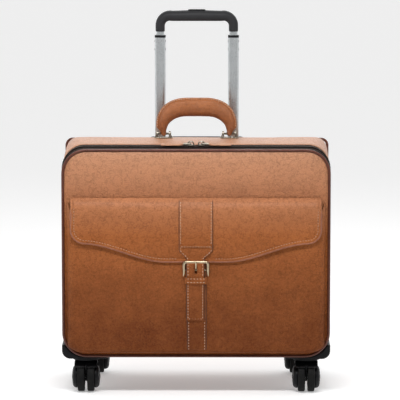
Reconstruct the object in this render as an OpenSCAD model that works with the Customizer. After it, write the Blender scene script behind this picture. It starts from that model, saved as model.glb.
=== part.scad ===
// A wheeled pilot flight case. Millimetres, +Z up, +X to the right of someone facing the pocket,
// +Y towards the back. The origin is on the floor under the middle of the case.

/* [Case] */
// Width of the case body over its side walls
case_w = 450; // [420:1:480]
// Depth of the case body from the front panel's face to the back panel's face
case_d = 214; // [190:1:230]
// Height of the underside of the body above the floor
case_base = 62; // [60:1:70]
// Height of the front panel above the floor
front_top = 415; // [395:1:430]
// Radius of the body's corners
corner_r = 38; // [30:1:44]
// Thickness of the leather-covered board walls
wall = 4; // [3:0.5:6]
// Rise of the domed top above the front panel's top edge
dome_rise = 6; // [2:1:9]

/* [Front pocket] */
// Depth that the pocket stands out from the front panel
pocket_d = 12; // [10:1:16]
// Width of the pocket
pocket_w = 432; // [400:1:436]
// Height of the flap's fold above the floor
fold_z = 334; // [320:1:345]
// Height of the flap's lowest edge above the floor
flap_low = 226; // [215:1:240]
// Width of the flap
flap_w = 420; // [390:1:424]

/* [Carry handle] */
// Distance between the two handle brackets
bracket_span = 112; // [100:1:125]
// Diameter of the padded grip
carry_grip_d = 27; // [22:1:28]
// Height of the hand gap under the grip, from the pivot
carry_gap = 31; // [26:1:40]

/* [Trolley handle] */
// Distance between the two tubes
tube_span = 126; // [110:1:140]
// How far the first stage stands out of the case
stage_1_out = 177; // [120:1:200]
// Width of the moulded grip
grip_w = 142; // [136:1:152]

/* [Casters] */
// Diameter of the wheels
wheel_d = 50; // [44:1:50]
// Distance from the swivel axis to the axle
trail = 10; // [6:1:12]
// Distance between the front swivel axes
front_track = 372; // [350:1:376]
// Distance between the rear swivel axes
rear_track = 352; // [340:1:376]

/* [Hidden] */
$fn = 48;

leather = "#a8663f";
dark_leather = "#5a2c20";
black = "#1c1d1e";
brass = "#b9a06a";
gunmetal = "#6d6f68";
alloy = "#b8bcbf";
cloth = "#3b2f2a";

piping_r = 2.3;
piping_gap = 0.3;

// What stands in front of the front panel: pocket, flap, strap, buckle and keeper.
flap_t = 2.6;
flap_gap = 0.4;
stack_d = pocket_d + flap_gap + flap_t + 7.7;

// The faces of the front and back panels, with the whole object centred on y = 0.
front_y = -(case_d + piping_r - stack_d) / 2;
rear_y = front_y + case_d;
crest_y = (front_y + rear_y) / 2;
case_h = front_top + dome_rise - case_base;
rear_drop = 9;

// The top is part of a large cylinder that runs along X through the front edge, the crest and the back edge.
chord = rear_y - front_y;
chord_tilt = atan(rear_drop / chord);
sagitta = dome_rise + rear_drop / 2;
dome_r = pow(chord / 2, 2) / (2 * sagitta) + sagitta / 2;
dome_y = crest_y - (dome_r - sagitta) * sin(chord_tilt);
dome_z = front_top - rear_drop / 2 - (dome_r - sagitta) * cos(chord_tilt);
function top_z(y) = dome_z + sqrt(dome_r * dome_r - (y - dome_y) * (y - dome_y));

// The zip runs in a slot over the top and down both sides.
zip_y = front_y + 20;
zip_slot = 1.6;
zip_low = 104;
tape_w = 17.5;
tape_t = 1.2;
bead_w = 1.8;
bead_h = 0.9;

// Front piping: its centre line, which is also the front's hinge line along the bottom.
piping_in = 2.2;
hinge_y = front_y + 2;
hinge_z = case_base + piping_in;
front_r = corner_r + 2;
front_w = case_w - 2 * piping_in;
panel_in = piping_r + piping_gap;

// Rear piping: its centre line stands a little outside the body.
rear_w = case_w + 2.4;
rear_low = case_base + 1.2;
rear_top = front_top - rear_drop;
rear_r = 28;

// A quarter of a round tube's ring, in the XZ plane: turn is 0, 90, 180 or 270 for the right top,
// right bottom, left bottom and left top corners.
module elbow(bend, r, turn) {
    rotate([90, turn, 0])
        rotate_extrude(angle = 90)
            translate([bend, 0])
                circle(r, $fn = 32);
}

module left() {
    mirror([1, 0, 0]) children();
}

// A rounded rectangle in X and Z, from z = low to z = high, as a plate from y = near to y = far.
module plate(width, low, high, r, near, far) {
    translate([0, far, (low + high) / 2])
        rotate([90, 0, 0])
            linear_extrude(far - near)
                rounded(width, high - low, r);
}

module rounded(width, height, r) {
    square([width - 2 * r, height], center = true);
    square([width, height - 2 * r], center = true);
    for (sx = [-1, 1], sy = [-1, 1])
        translate([sx * (width / 2 - r), sy * (height / 2 - r)])
            circle(r);
}

// An outline in Y and Z, swept along X and centred on x = 0.
module slab(width, points) {
    translate([-width / 2, 0, 0])
        rotate([90, 0, 90])
            linear_extrude(width)
                polygon(points);
}

// A rod along X, centred on x.
module rod(r, length, x, y, z) {
    translate([x - length / 2, y, z])
        rotate([0, 90, 0])
            cylinder(r = r, h = length);
}

module box(low, high) {
    translate(low) cube(high - low);
}

// The body's solid outer form, taken in by inset on every side but the front and back.
module body_form(inset, near, far) {
    intersection() {
        plate(case_w - 2 * inset, case_base + inset, case_base + case_h - inset, corner_r - inset, near, far);
        translate([-case_w / 2 - 10, dome_y, dome_z])
            rotate([0, 90, 0])
                cylinder(r = dome_r - inset, h = case_w + 20, $fn = 200);
    }
}

module body_shell(outer, inner, near, far) {
    difference() {
        body_form(outer, near, far);
        body_form(inner, near - 1, far + 1);
    }
}

// ---- Fixed case ----

wall_split = front_top - corner_r - 12;
floor_split = case_base + corner_r + 2;
back_wall_y = rear_y - wall;

module back_panel() {
    color(leather)
        plate(rear_w - 2 * panel_in, rear_low + panel_in, rear_top - panel_in, rear_r - panel_in,
              back_wall_y, rear_y);
}

module upper_shell() {
    intersection() {
        body_shell(0, wall, zip_y + zip_slot / 2 + tape_w, back_wall_y);
        box([-case_w, -200, wall_split], [case_w, 200, 500]);
    }
}

// The slots in the top for the trolley tubes and in the bezel under it.
bezel_w = tube_span + 34;
bezel_d = 30;
bezel_r = 8;
bezel_gap = 0.2;
tube_y = rear_y - 24;
bezel_z = top_z(tube_y) + 1.5;
bezel_low = top_z(tube_y + bezel_d / 2) - 0.5;

module top_wall() {
    color(leather)
        difference() {
            upper_shell();
            box([-bezel_w / 2 + 6, tube_y - 11, front_top - 40], [bezel_w / 2 - 6, tube_y + 11, front_top + 20]);
            translate([0, tube_y, bezel_low - 0.1])
                linear_extrude(40) rounded(bezel_w + 2 * bezel_gap, bezel_d + 2 * bezel_gap, bezel_r + bezel_gap);
        }
}

// A side wall: the flat board behind the zip, between the bottom's and the top's rounded corners.
module side_wall() {
    color(leather) {
        intersection() {
            body_shell(0, wall, zip_y + zip_slot / 2 + tape_w, back_wall_y);
            box([case_w / 2 - corner_r, -200, floor_split], [case_w, 200, wall_split]);
        }
    }
}

module bottom_wall() {
    color(leather)
        intersection() {
            body_shell(0, wall, front_y + 7, back_wall_y);
            box([-case_w, -200, 0], [case_w, 200, floor_split]);
        }
}

// Piping: a cord in a leather strip, sewn round a panel's edge.
module piping(width, low, high, bend, y) {
    half_w = width / 2;
    for (z = [low, high])
        rod(piping_r, width - 2 * bend, 0, y, z);
    for (x = [-half_w, half_w])
        translate([x, y, low + bend])
            cylinder(r = piping_r, h = high - low - 2 * bend);
    translate([half_w - bend, y, high - bend]) elbow(bend, piping_r, 0);
    translate([half_w - bend, y, low + bend]) elbow(bend, piping_r, 90);
    translate([bend - half_w, y, low + bend]) elbow(bend, piping_r, 180);
    translate([bend - half_w, y, high - bend]) elbow(bend, piping_r, 270);
}

module rear_piping() {
    color(dark_leather) piping(rear_w, rear_low, rear_top, rear_r, rear_y);
}

// The trolley runs behind a lined board, inside the back of the case.
board_t = 3;
cover_y = tube_y - 14;
cloth_t = 1.2;
fit_gap = 0.1;

module lining_form() {
    near = wall + fit_gap;
    inner = near + cloth_t;
    union() {
        body_shell(near, inner, zip_y + zip_slot / 2 + tape_w, cover_y);
        plate(case_w - 2 * inner, case_base + inner, rear_top - wall - 8, corner_r - inner,
              cover_y - cloth_t, cover_y);
    }
}

// The lining stops short of the bezel that comes through the top.
module lining() {
    room = bezel_gap + fit_gap;
    color(cloth)
        difference() {
            lining_form();
            box([-bezel_w / 2 - room, tube_y - bezel_d / 2 - room, bezel_low - room],
                [bezel_w / 2 + room, rear_y, front_top + 20]);
        }
}

module trolley_cover() {
    near = wall + fit_gap;
    color(cloth)
        plate(case_w - 2 * near, case_base + near, rear_top - wall - 2, corner_r - near,
              cover_y, cover_y + board_t);
}

// One half of the zip: woven tape with its row of teeth as a bead along the edge next to the slot.
module zip_half(near, far, bead_near) {
    intersection() {
        union() {
            body_shell(0, tape_t, near, far);
            body_shell(-bead_h, tape_t + bead_h, bead_near, bead_near + bead_w);
        }
        box([-case_w, -200, zip_low], [case_w, 200, 500]);
    }
}

module zip_rear() {
    slot_y = zip_y + zip_slot / 2;
    color(cloth) zip_half(slot_y, slot_y + tape_w, slot_y);
}

module zip_front() {
    slot_y = zip_y - zip_slot / 2;
    color(cloth) zip_half(hinge_y + piping_r + piping_gap, slot_y, slot_y - bead_w);
}

// ---- Trolley handle ----

outer_tube = [23, 17, 1.2];
stage_1_tube = [18.4, 12.4, 1.1];
stage_2_tube = [14, 8.4, 1];
tube_foot_z = case_base + wall + 6;
collar_top = bezel_z + stage_1_out;
stage_1_low = tube_foot_z + 6 + stage_1_out;
stage_2_low = stage_1_low + 5;
grip_foot = collar_top + 6.5;

// A flat-sided oval tube from z = low to z = high, with one wall thickness.
module oval_tube(size, low, high) {
    difference() {
        translate([0, 0, low]) oval_bar([size[0], size[1]], high - low);
        translate([0, 0, low - 1]) oval_bar([size[0] - 2 * size[2], size[1] - 2 * size[2]], high - low + 2);
    }
}

module oval_bar(size, height) {
    linear_extrude(height) rounded(size[0], size[1], size[1] * 0.32);
}

module at_tubes() {
    for (sx = [-1, 1])
        translate([sx * tube_span / 2, tube_y, 0]) children();
}

module trolley_outer_tubes() {
    color(alloy)
        at_tubes() oval_tube(outer_tube, tube_foot_z, bezel_z - 4.5);
}

module trolley_bezel() {
    color(black)
        difference() {
            union() {
                translate([0, tube_y, bezel_low])
                    linear_extrude(bezel_z - bezel_low) rounded(bezel_w, bezel_d, bezel_r);
                translate([0, tube_y, bezel_low - 12])
                    linear_extrude(12) rounded(bezel_w - 13, 21, 5);
            }
            at_tubes() {
                translate([0, 0, bezel_z - 30]) oval_bar([stage_1_tube[0] + 1.2, stage_1_tube[1] + 1.2], 40);
                translate([0, 0, bezel_z - 30]) oval_bar([outer_tube[0] + 0.4, outer_tube[1] + 0.4], 25.7);
            }
        }
}

// The foot that ties both outer tubes to the bottom board.
foot_h = 22;

module trolley_foot() {
    half_d = tube_y - cover_y - board_t - 0.2;
    low = case_base + wall + 0.2;
    color(black)
        difference() {
            box([-tube_span / 2 - 20, tube_y - half_d, low], [tube_span / 2 + 20, tube_y + half_d, low + foot_h]);
            at_tubes() translate([0, 0, tube_foot_z - 0.2]) oval_bar([outer_tube[0] + 0.4, outer_tube[1] + 0.4], 40);
        }
}

module stage_1_tubes() {
    color(alloy)
        at_tubes() oval_tube(stage_1_tube, stage_1_low, collar_top - 4);
}

// A moulded end stop on each first-stage tube, which guides the second stage.
module stage_1_collars() {
    color(black)
        at_tubes()
            difference() {
                translate([0, 0, collar_top - 4]) oval_bar([19, 13], 4);
                translate([0, 0, collar_top - 5]) oval_bar([stage_2_tube[0] + 0.6, stage_2_tube[1] + 0.6], 6);
            }
}

module stage_2_tubes() {
    color(alloy)
        at_tubes() oval_tube(stage_2_tube, stage_2_low, grip_foot + 14);
}

grip_leg_x = tube_span / 2;
grip_top = grip_foot + 37;
grip_bar_z = grip_top - 10;
button_w = 30;
button_d = 11;

module grip_form() {
    bend = 16;
    translate([0, tube_y, 0]) {
        rod(10, 2 * (grip_leg_x - bend), 0, 0, grip_bar_z);
        translate([grip_leg_x - bend, 0, grip_bar_z - bend]) elbow(bend, 8.6, 0);
        translate([bend - grip_leg_x, 0, grip_bar_z - bend]) elbow(bend, 8.6, 270);
        for (sx = [-1, 1])
            translate([sx * grip_leg_x, 0, grip_foot])
                cylinder(r = 8, h = grip_bar_z - bend - grip_foot);
    }
}

module trolley_grip() {
    color(black)
        difference() {
            grip_form();
            at_tubes() translate([0, 0, grip_foot - 1]) oval_bar([stage_2_tube[0] + 0.02, stage_2_tube[1] + 0.02], 15);
            translate([0, tube_y, grip_top - 8]) linear_extrude(20) rounded(button_w + 0.8, button_d + 0.8, 4);
        }
}

module release_button() {
    color(black)
        translate([0, tube_y, grip_top - 3.6]) linear_extrude(4.6) rounded(button_w, button_d, 4);
}

// ---- Carry handle ----

pivot_y = crest_y;
bracket_base = top_z(pivot_y - 7) + 0.1;
pivot_z = bracket_base + 7.3;
pin_r = 1.8;
loop_r = 5;
bracket_x = bracket_span / 2;
post_gap = 18;
post_t = 3.2;

module handle_bracket() {
    color(gunmetal)
        translate([bracket_x, pivot_y, bracket_base])
            difference() {
                union() {
                    translate([0, 0, 0.9]) cube([31, 14, 1.8], center = true);
                    for (sx = [-1, 1])
                        translate([sx * (post_gap + post_t) / 2, 0, 6])
                            cube([post_t, 9, 12], center = true);
                }
                translate([-20, 0, pivot_z - bracket_base])
                    rotate([0, 90, 0]) cylinder(r = pin_r + 0.03, h = 40);
            }
}

module handle_pins() {
    color(gunmetal)
        for (sx = [-1, 1])
            rod(pin_r, post_gap + 2 * post_t + 1, sx * bracket_x, pivot_y, pivot_z);
}

// The padded arch and the leather loop at each end that turns on the pin.
module carry_handle() {
    bar_r = carry_grip_d / 2;
    bar_up = carry_gap + bar_r;
    bend = 28;
    color(leather)
        translate([0, pivot_y, pivot_z])
            difference() {
                union() {
                    rod(bar_r, 2 * (bracket_x - bend), 0, 0, bar_up);
                    translate([bracket_x - bend, 0, bar_up - bend]) elbow(bend, bar_r - 1.5, 0);
                    translate([bend - bracket_x, 0, bar_up - bend]) elbow(bend, bar_r - 1.5, 270);
                    for (sx = [-1, 1]) {
                        translate([sx * bracket_x, 0, 2])
                            cylinder(r1 = 6.5, r2 = bar_r - 2, h = bar_up - bend - 2);
                        rod(loop_r, 13, sx * bracket_x, 0, 0);
                    }
                }
                rod(pin_r + 0.05, 2 * bracket_span, 0, 0, 0);
            }
}

// ---- Front panel and pocket, which swing down together ----

module front_panel() {
    color(leather)
        plate(front_w - 2 * panel_in, hinge_z + panel_in, front_top - piping_in - panel_in, front_r - panel_in,
              front_y, front_y + wall);
}

module front_piping() {
    color(dark_leather) piping(front_w, hinge_z, front_top - piping_in, front_r, hinge_y);
}

pocket_low = case_base + 8;
pocket_shoulder = fold_z - 24;
pocket_top = fold_z - 9;
pocket_face = front_y - pocket_d;
pocket_wall = 2.4;
pocket_r = 32;

// A shallow leather box, open along the top, whose sides slope back to the panel under the flap.
module pocket_panel() {
    color(leather)
        difference() {
            intersection() {
                plate(pocket_w, pocket_low, pocket_top + 60, pocket_r, pocket_face, front_y);
                slab(pocket_w + 2, [
                    [front_y, pocket_low - 1], [pocket_face, pocket_low - 1],
                    [pocket_face, pocket_shoulder], [front_y, pocket_top]
                ]);
            }
            plate(pocket_w - 2 * pocket_wall, pocket_low + pocket_wall, pocket_top + 90, pocket_r - pocket_wall,
                  pocket_face + pocket_wall, front_y + 1);
        }
}

strap_t = 2.4;
back_strap_w = 33;
back_strap_top = flap_low - 3;
socket_z = 165;
socket_r = 7;

module pocket_strap() {
    color(leather)
        difference() {
            box([-back_strap_w / 2, pocket_face - strap_t, pocket_low + 1],
                [back_strap_w / 2, pocket_face, back_strap_top]);
            translate([0, pocket_face + 1, socket_z]) rotate([90, 0, 0]) cylinder(r = socket_r, h = strap_t + 2);
        }
}

// A ring magnet set into the pocket's strap.
module snap_socket() {
    color(brass)
        translate([0, pocket_face, socket_z])
            rotate([90, 0, 0])
                difference() {
                    cylinder(r = socket_r - fit_gap, h = strap_t);
                    translate([0, 0, 0.6]) cylinder(r = 3.8, h = strap_t);
                }
}

flap_back = pocket_face - flap_gap;
flap_front = flap_back - flap_t;
flap_rise = 31;
flap_wave = [50, 190];
flap_corner = 24;
flap_half = flap_w / 2;
edge_step = 12;
fold_y = front_y - flap_t / 2 - 0.3;
fold_drop = 21;

// Height of the flap's lower edge at x: low in the middle and higher out to the sides, in one soft wave.
function smooth(s) = let (c = min(max(s, 0), 1)) c * c * (3 - 2 * c);
function flap_edge(x) = flap_low + flap_rise * smooth((abs(x) - flap_wave[0]) / (flap_wave[1] - flap_wave[0]));

corner_centre = [flap_half - flap_corner, flap_edge(flap_half - flap_corner) + flap_corner];
corner_arc = [for (a = [-90:15:0]) corner_centre + flap_corner * [cos(a), sin(a)]];

module flap_outline() {
    left_arc = [for (i = [len(corner_arc) - 1:-1:0]) [-corner_arc[i][0], corner_arc[i][1]]];
    edge = [for (x = [edge_step - corner_centre[0]:edge_step:corner_centre[0] - 1]) [x, flap_edge(x)]];
    polygon(concat([[flap_half, fold_z + 5], [-flap_half, fold_z + 5]], left_arc, edge, corner_arc));
}

// The flap: sewn to the front panel along its fold, out over the pocket's mouth and down its face.
module pocket_flap() {
    low = flap_low - 5;
    color(leather)
        intersection() {
            slab(flap_w, [
                [fold_y + flap_t / 2, fold_z], [fold_y - flap_t / 2, fold_z],
                [flap_front, fold_z - fold_drop], [flap_front, low], [flap_back, low],
                [flap_back, fold_z - fold_drop - 2], [fold_y + flap_t / 2, fold_z - 5]
            ]);
            rotate([90, 0, 0]) linear_extrude(200) flap_outline();
        }
}

patch_w = 57;
patch_top = fold_z - fold_drop - 1;
taper_top = 250;
taper_low = 231;
patch_front = flap_front - strap_t;

module strap_patch() {
    color(leather)
        box([-patch_w / 2, patch_front, taper_top], [patch_w / 2, flap_front, patch_top]);
}

// The buckle's pin bar runs behind the tail, in front of the flap, and its top bar in front of the strap.
bar_r = 1.2;
collar_r = 1.9;
pin_bar_y = flap_front - 0.3 - collar_r;
pin_bar_z = 214;
tail_w = 30.5;
tail_t = 2.2;
tail_low = 128;
tail_back = pin_bar_y - bar_r - 0.2;
tail_front = tail_back - tail_t;
tail_set = 2.8;
tail_bend = 188;
tongue_slot_w = 4;

// The tapered tab and the tail in one strip, which passes behind the top bar and over the pin bar.
module buckle_strap() {
    flat_low = flap_low - 1;
    color(leather)
        difference() {
            union() {
                translate([0, flap_front, 0])
                    rotate([90, 0, 0])
                        linear_extrude(strap_t)
                            polygon([
                                [-patch_w / 2, taper_top - fit_gap], [patch_w / 2, taper_top - fit_gap],
                                [tail_w / 2, taper_low], [tail_w / 2, flat_low],
                                [-tail_w / 2, flat_low], [-tail_w / 2, taper_low]
                            ]);
                slab(tail_w, [
                    [patch_front, flat_low], [tail_front, flat_low - 5], [tail_front, tail_bend],
                    [tail_front + tail_set, tail_bend - 10], [tail_front + tail_set, tail_low],
                    [tail_back + tail_set, tail_low], [tail_back + tail_set, tail_bend - 10],
                    [tail_back, tail_bend], [tail_back, flat_low - 6], [flap_front, flat_low]
                ]);
            }
            box([-tongue_slot_w / 2, -200, pin_bar_z - 6.5], [tongue_slot_w / 2, 0, pin_bar_z + 8]);
        }
}

frame_top = 229.5;
frame_low = 204;
frame_half = 20.7;
frame_r = 1.6;
frame_y = patch_front - 0.3 - frame_r;

// An open-ended frame: a top bar in front of the strap, two legs beside it and a pin bar behind it.
module buckle_frame() {
    color(brass) {
        rod(frame_r, 2 * frame_half, 0, frame_y, frame_top - frame_r);
        for (sx = [-1, 1])
            box([sx * frame_half - 1.4, frame_y - 1.5, frame_low], [sx * frame_half + 1.4, pin_bar_y + 1.4, frame_top - 0.2]);
        rod(bar_r, 2 * frame_half, 0, pin_bar_y, pin_bar_z);
    }
}

tongue_w = 3;
tongue_t = 1.3;

// The buckle's pin: a collar that turns on the pin bar and a finger that rests on the top bar.
module buckle_tongue() {
    finger_y = frame_y - frame_r - 0.3;
    color(brass)
        difference() {
            union() {
                rod(collar_r, tongue_w, 0, pin_bar_y, pin_bar_z);
                slab(tongue_w, [
                    [pin_bar_y - 0.5, pin_bar_z + 1.4], [tail_front - 0.2, pin_bar_z + 5.5], [finger_y, frame_top - 5],
                    [finger_y, frame_top - 0.5], [finger_y - tongue_t, frame_top - 0.5],
                    [finger_y - tongue_t, frame_top - 6], [tail_front - 1, pin_bar_z + 3.6], [pin_bar_y - 1.6, pin_bar_z]
                ]);
            }
            rod(bar_r + 0.05, 10, 0, pin_bar_y, pin_bar_z);
        }
}

keeper_low = 190.5;
keeper_high = 202.5;
keeper_half = 20;
keeper_t = 1.6;

module keeper_loop() {
    color(leather)
        difference() {
            box([-keeper_half, tail_front - 0.3 - keeper_t, keeper_low],
                [keeper_half, tail_back + 0.3 + keeper_t, keeper_high]);
            box([keeper_t - keeper_half, tail_front - 0.3, 0], [keeper_half - keeper_t, tail_back + 0.3, 400]);
        }
}

module snap_stud() {
    color(brass)
        translate([0, tail_back + tail_set, socket_z])
            rotate([-90, 0, 0]) {
                cylinder(r = 5.5, h = 0.8);
                cylinder(r = 2.8, h = 2.6);
            }
}

// ---- Zip sliders ----

slider_x = 9;
slider_l = 11;
slider_w = 12;
jaw_t = 1.4;
jaw_gap = 5.2;
slider_top = top_z(zip_y) + bead_h + 0.6;
pull_pivot = [slider_x, zip_y, slider_top + 2.6];
wire_r = 0.9;

// Two plates with the tape's teeth between them, the wedge that joins them, and the bridge for the pull.
module slider() {
    color(gunmetal)
        translate([slider_x, zip_y, slider_top]) {
            box([-slider_l / 2, -slider_w / 2, 0], [slider_l / 2, slider_w / 2, jaw_t]);
            box([-slider_l / 2, -slider_w / 2, -jaw_gap - jaw_t], [slider_l / 2, slider_w / 2, -jaw_gap]);
            box([-slider_l / 2, -0.5, -jaw_gap], [slider_l / 2, 0.5, 0]);
            difference() {
                box([-4, -1, jaw_t], [4, 1, jaw_t + 4]);
                box([-2.4, -3, jaw_t - 1], [2.4, 3, jaw_t + 2.4]);
            }
        }
}

// A bent wire bail through the slider's bridge.
module pull_ring() {
    ring_l = 13;
    half = 4.2;
    color(gunmetal)
        translate(pull_pivot) {
            for (x = [0, ring_l])
                translate([x, half + wire_r, 0]) rotate([90, 0, 0]) cylinder(r = wire_r, h = 2 * (half + wire_r), $fn = 24);
            for (y = [-half, half])
                translate([0, y, 0]) rotate([0, 90, 0]) cylinder(r = wire_r - 0.15, h = ring_l, $fn = 24);
        }
}

// A leather pull, notched for the bail and lying along the slope of the top.
module pull_tab() {
    tab_w = 12.5;
    tab_t = 2.8;
    tab_l = 42;
    slope = asin((dome_y - zip_y) / dome_r);
    color(leather)
        translate(pull_pivot + [10.5, 0, 0])
            difference() {
                translate([0, 0, -1.2])
                    rotate([slope, 0, 0])
                        translate([0, -tab_w / 2, -tab_t / 2]) cube([tab_l, tab_w, tab_t]);
                translate([-1, -5.5, -1.2]) cube([4.9, 11, 5]);
            }
}

// ---- Casters ----

wheel_r = wheel_d / 2;
hood_in = wheel_r + 1;
hood_out = wheel_r + 2.7;
boss_z = wheel_r + hood_out + 0.7;
stem_r = 5;
axle_r = 2.5;
front_axis_y = front_y + 34;
rear_axis_y = front_axis_y + 144;
housing_wide = 76;

// A corner shell round the bottom of the case with the boss that the fork's stem turns in.
module wheel_housing(track, axis_y, near, far) {
    x = track / 2;
    out = case_w / 2 + 1;
    color(black)
        difference() {
            union() {
                intersection() {
                    plate(2 * out, case_base - 4, 300, 14, near, far);
                    box([out - housing_wide, -200, 0], [out, 200, case_base + 20]);
                }
                translate([x, axis_y, boss_z]) cylinder(r = 23, h = case_base - 2 - boss_z);
            }
            plate(case_w + 0.2, case_base - 0.1, 700, corner_r, near - 1, far + 1);
            translate([x, axis_y, boss_z - 1]) cylinder(r = stem_r + 0.05, h = 20);
        }
}

// A fork: stem, hood over both wheels and the web between them that carries the axle.
module fork(track, axis_y, way) {
    x = track / 2;
    axle_y = axis_y + way * trail;
    color(black)
        translate([x, axle_y, wheel_r])
            difference() {
                union() {
                    intersection() {
                        rod(hood_out, 39, 0, 0, 0);
                        box([-20, -40, 13], [20, 40, 40]);
                    }
                    rod(8, 3, 0, 0, 0);
                    box([-1.5, -8, 0], [1.5, 8, 20]);
                    translate([0, -way * trail, hood_out - 8]) cylinder(r = 12, h = 8.3);
                    translate([0, -way * trail, 0]) cylinder(r = stem_r, h = case_base - 1 - wheel_r);
                }
                for (sx = [-1, 1])
                    rod(hood_in, 18.1, sx * 10.55, 0, 0);
                box([-30, -50, -50], [-1.6, 50, 8]);
                box([1.6, -50, -50], [30, 50, 8]);
                rod(axle_r + 0.02, 20, 0, 0, 0);
            }
}

module axle(track, axis_y, way) {
    color(alloy) rod(axle_r, 42, track / 2, axis_y + way * trail, wheel_r);
}

// A wheel: a rubber tyre next to the fork's web and a domed cap outside it.
module wheel(track, axis_y, way, side) {
    color(black)
        translate([track / 2, axis_y + way * trail, wheel_r])
            rotate([0, side * 90, 0])
                rotate_extrude()
                    polygon([
                        [axle_r + 0.05, 2], [wheel_r - 1.5, 2], [wheel_r, 3.5], [wheel_r, 12.5], [wheel_r - 1.5, 14],
                        [wheel_r - 4.5, 14.6], [wheel_r - 5, 20], [wheel_r - 8, 23.4], [0, 24],
                        [0, 21.4], [axle_r + 0.05, 21.4]
                    ]);
}

module front_housing() {
    wheel_housing(front_track, front_axis_y, front_y + 7, front_y + 72);
}

module rear_housing() {
    wheel_housing(rear_track, rear_axis_y, rear_y - 76, back_wall_y - fit_gap);
}

back_panel();
top_wall();
left() side_wall();  // side_wall_left
side_wall();  // side_wall_right
bottom_wall();
rear_piping();
lining();
trolley_cover();
zip_rear();
trolley_outer_tubes();
trolley_bezel();
trolley_foot();
left() handle_bracket();  // handle_bracket_left
handle_bracket();  // handle_bracket_right
handle_pins();
left() front_housing();  // wheel_housing_front_left
front_housing();  // wheel_housing_front_right
left() rear_housing();  // wheel_housing_rear_left
rear_housing();  // wheel_housing_rear_right
front_panel();
front_piping();
zip_front();
pocket_panel();
pocket_strap();
snap_socket();
pocket_flap();
strap_patch();
buckle_strap();
buckle_frame();
keeper_loop();
snap_stud();
buckle_tongue();
left() slider();  // slider_left
slider();  // slider_right
left() pull_ring();  // pull_ring_left
pull_ring();  // pull_ring_right
left() pull_tab();  // pull_tab_left
pull_tab();  // pull_tab_right
stage_1_tubes();
stage_1_collars();
stage_2_tubes();
trolley_grip();
release_button();
carry_handle();
left() fork(front_track, front_axis_y, -1);  // fork_front_left
fork(front_track, front_axis_y, -1);  // fork_front_right
left() fork(rear_track, rear_axis_y, 1);  // fork_rear_left
fork(rear_track, rear_axis_y, 1);  // fork_rear_right
left() axle(front_track, front_axis_y, -1);  // axle_front_left
axle(front_track, front_axis_y, -1);  // axle_front_right
left() axle(rear_track, rear_axis_y, 1);  // axle_rear_left
axle(rear_track, rear_axis_y, 1);  // axle_rear_right
left() wheel(front_track, front_axis_y, -1, 1);  // wheel_front_left_a
left() wheel(front_track, front_axis_y, -1, -1);  // wheel_front_left_b
wheel(front_track, front_axis_y, -1, 1);  // wheel_front_right_a
wheel(front_track, front_axis_y, -1, -1);  // wheel_front_right_b
left() wheel(rear_track, rear_axis_y, 1, 1);  // wheel_rear_left_a
left() wheel(rear_track, rear_axis_y, 1, -1);  // wheel_rear_left_b
wheel(rear_track, rear_axis_y, 1, 1);  // wheel_rear_right_a
wheel(rear_track, rear_axis_y, 1, -1);  // wheel_rear_right_b
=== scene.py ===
# A wheeled pilot case: tan leather over board, a flapped front pocket with a buckled strap, a padded
# carry handle, a pull-up trolley handle and four twin-wheel casters.
import math
import random

import bpy
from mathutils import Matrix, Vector, noise


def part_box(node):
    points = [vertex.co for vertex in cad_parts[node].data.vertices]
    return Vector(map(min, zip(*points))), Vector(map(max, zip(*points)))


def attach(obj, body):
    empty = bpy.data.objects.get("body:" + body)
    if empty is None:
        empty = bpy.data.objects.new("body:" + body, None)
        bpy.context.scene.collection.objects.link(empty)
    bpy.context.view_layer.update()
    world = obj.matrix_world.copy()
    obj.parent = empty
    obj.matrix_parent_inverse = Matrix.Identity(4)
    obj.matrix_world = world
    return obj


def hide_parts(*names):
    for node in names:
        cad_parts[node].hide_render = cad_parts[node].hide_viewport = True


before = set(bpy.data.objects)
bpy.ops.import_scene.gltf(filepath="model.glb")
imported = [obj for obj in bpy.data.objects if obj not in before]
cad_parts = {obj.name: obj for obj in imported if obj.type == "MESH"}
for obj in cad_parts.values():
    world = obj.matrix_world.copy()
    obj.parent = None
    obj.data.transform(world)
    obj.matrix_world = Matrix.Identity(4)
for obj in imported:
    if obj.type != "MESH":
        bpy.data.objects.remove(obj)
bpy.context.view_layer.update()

# ---- Camera, floor and lamps ----
# A pale studio sweep under soft lamps: one long box above and in front of the case, two weaker ones
# at the sides, one behind, and a surround that is white behind the case and dimmer in front of it.
scene = bpy.context.scene
scene.view_settings.view_transform = "Standard"
mm = 0.001

front_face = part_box("front_panel")[0].y
back_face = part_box("back_panel")[1].y


def look_at(thing, place, target):
    thing.location = place
    direction = Vector(target) - Vector(place)
    thing.rotation_euler = direction.to_track_quat("-Z", "Y").to_euler()


camera_data = bpy.data.cameras.new("camera")
camera_data.lens = 272
camera_data.sensor_width = 36
camera = bpy.data.objects.new("camera", camera_data)
scene.collection.objects.link(camera)
camera_back = 5.0
look_at(camera, (0.040, front_face - camera_back, 1.0215), (0.0067, front_face, 0.3295))
scene.camera = camera


def soft_box(name, place, target, width, height, power, spread=180):
    lamp = bpy.data.lights.new(name, "AREA")
    lamp.shape = "RECTANGLE"
    lamp.size = width
    lamp.size_y = height
    lamp.energy = power
    lamp.spread = math.radians(spread)
    box = bpy.data.objects.new(name, lamp)
    scene.collection.objects.link(box)
    look_at(box, place, target)
    return box


soft_box("key_box", (-0.05, -0.66, 1.10), (0, front_face, 0.42), 1.0, 0.14, 7.7, 140)
soft_box("top_box", (0, 0.05, 1.7), (0, 0.08, 0.42), 0.9, 0.6, 0.3, 150)
soft_box("left_box", (-1.7, -0.5, 0.75), (0, 0, 0.40), 0.5, 1.4, 4)
soft_box("right_box", (1.7, -0.5, 0.75), (0, 0, 0.40), 0.5, 1.4, 2)
soft_box("back_box", (0.2, 1.5, 1.6), (0, 0, 0.35), 1.4, 0.8, 7)

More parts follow.
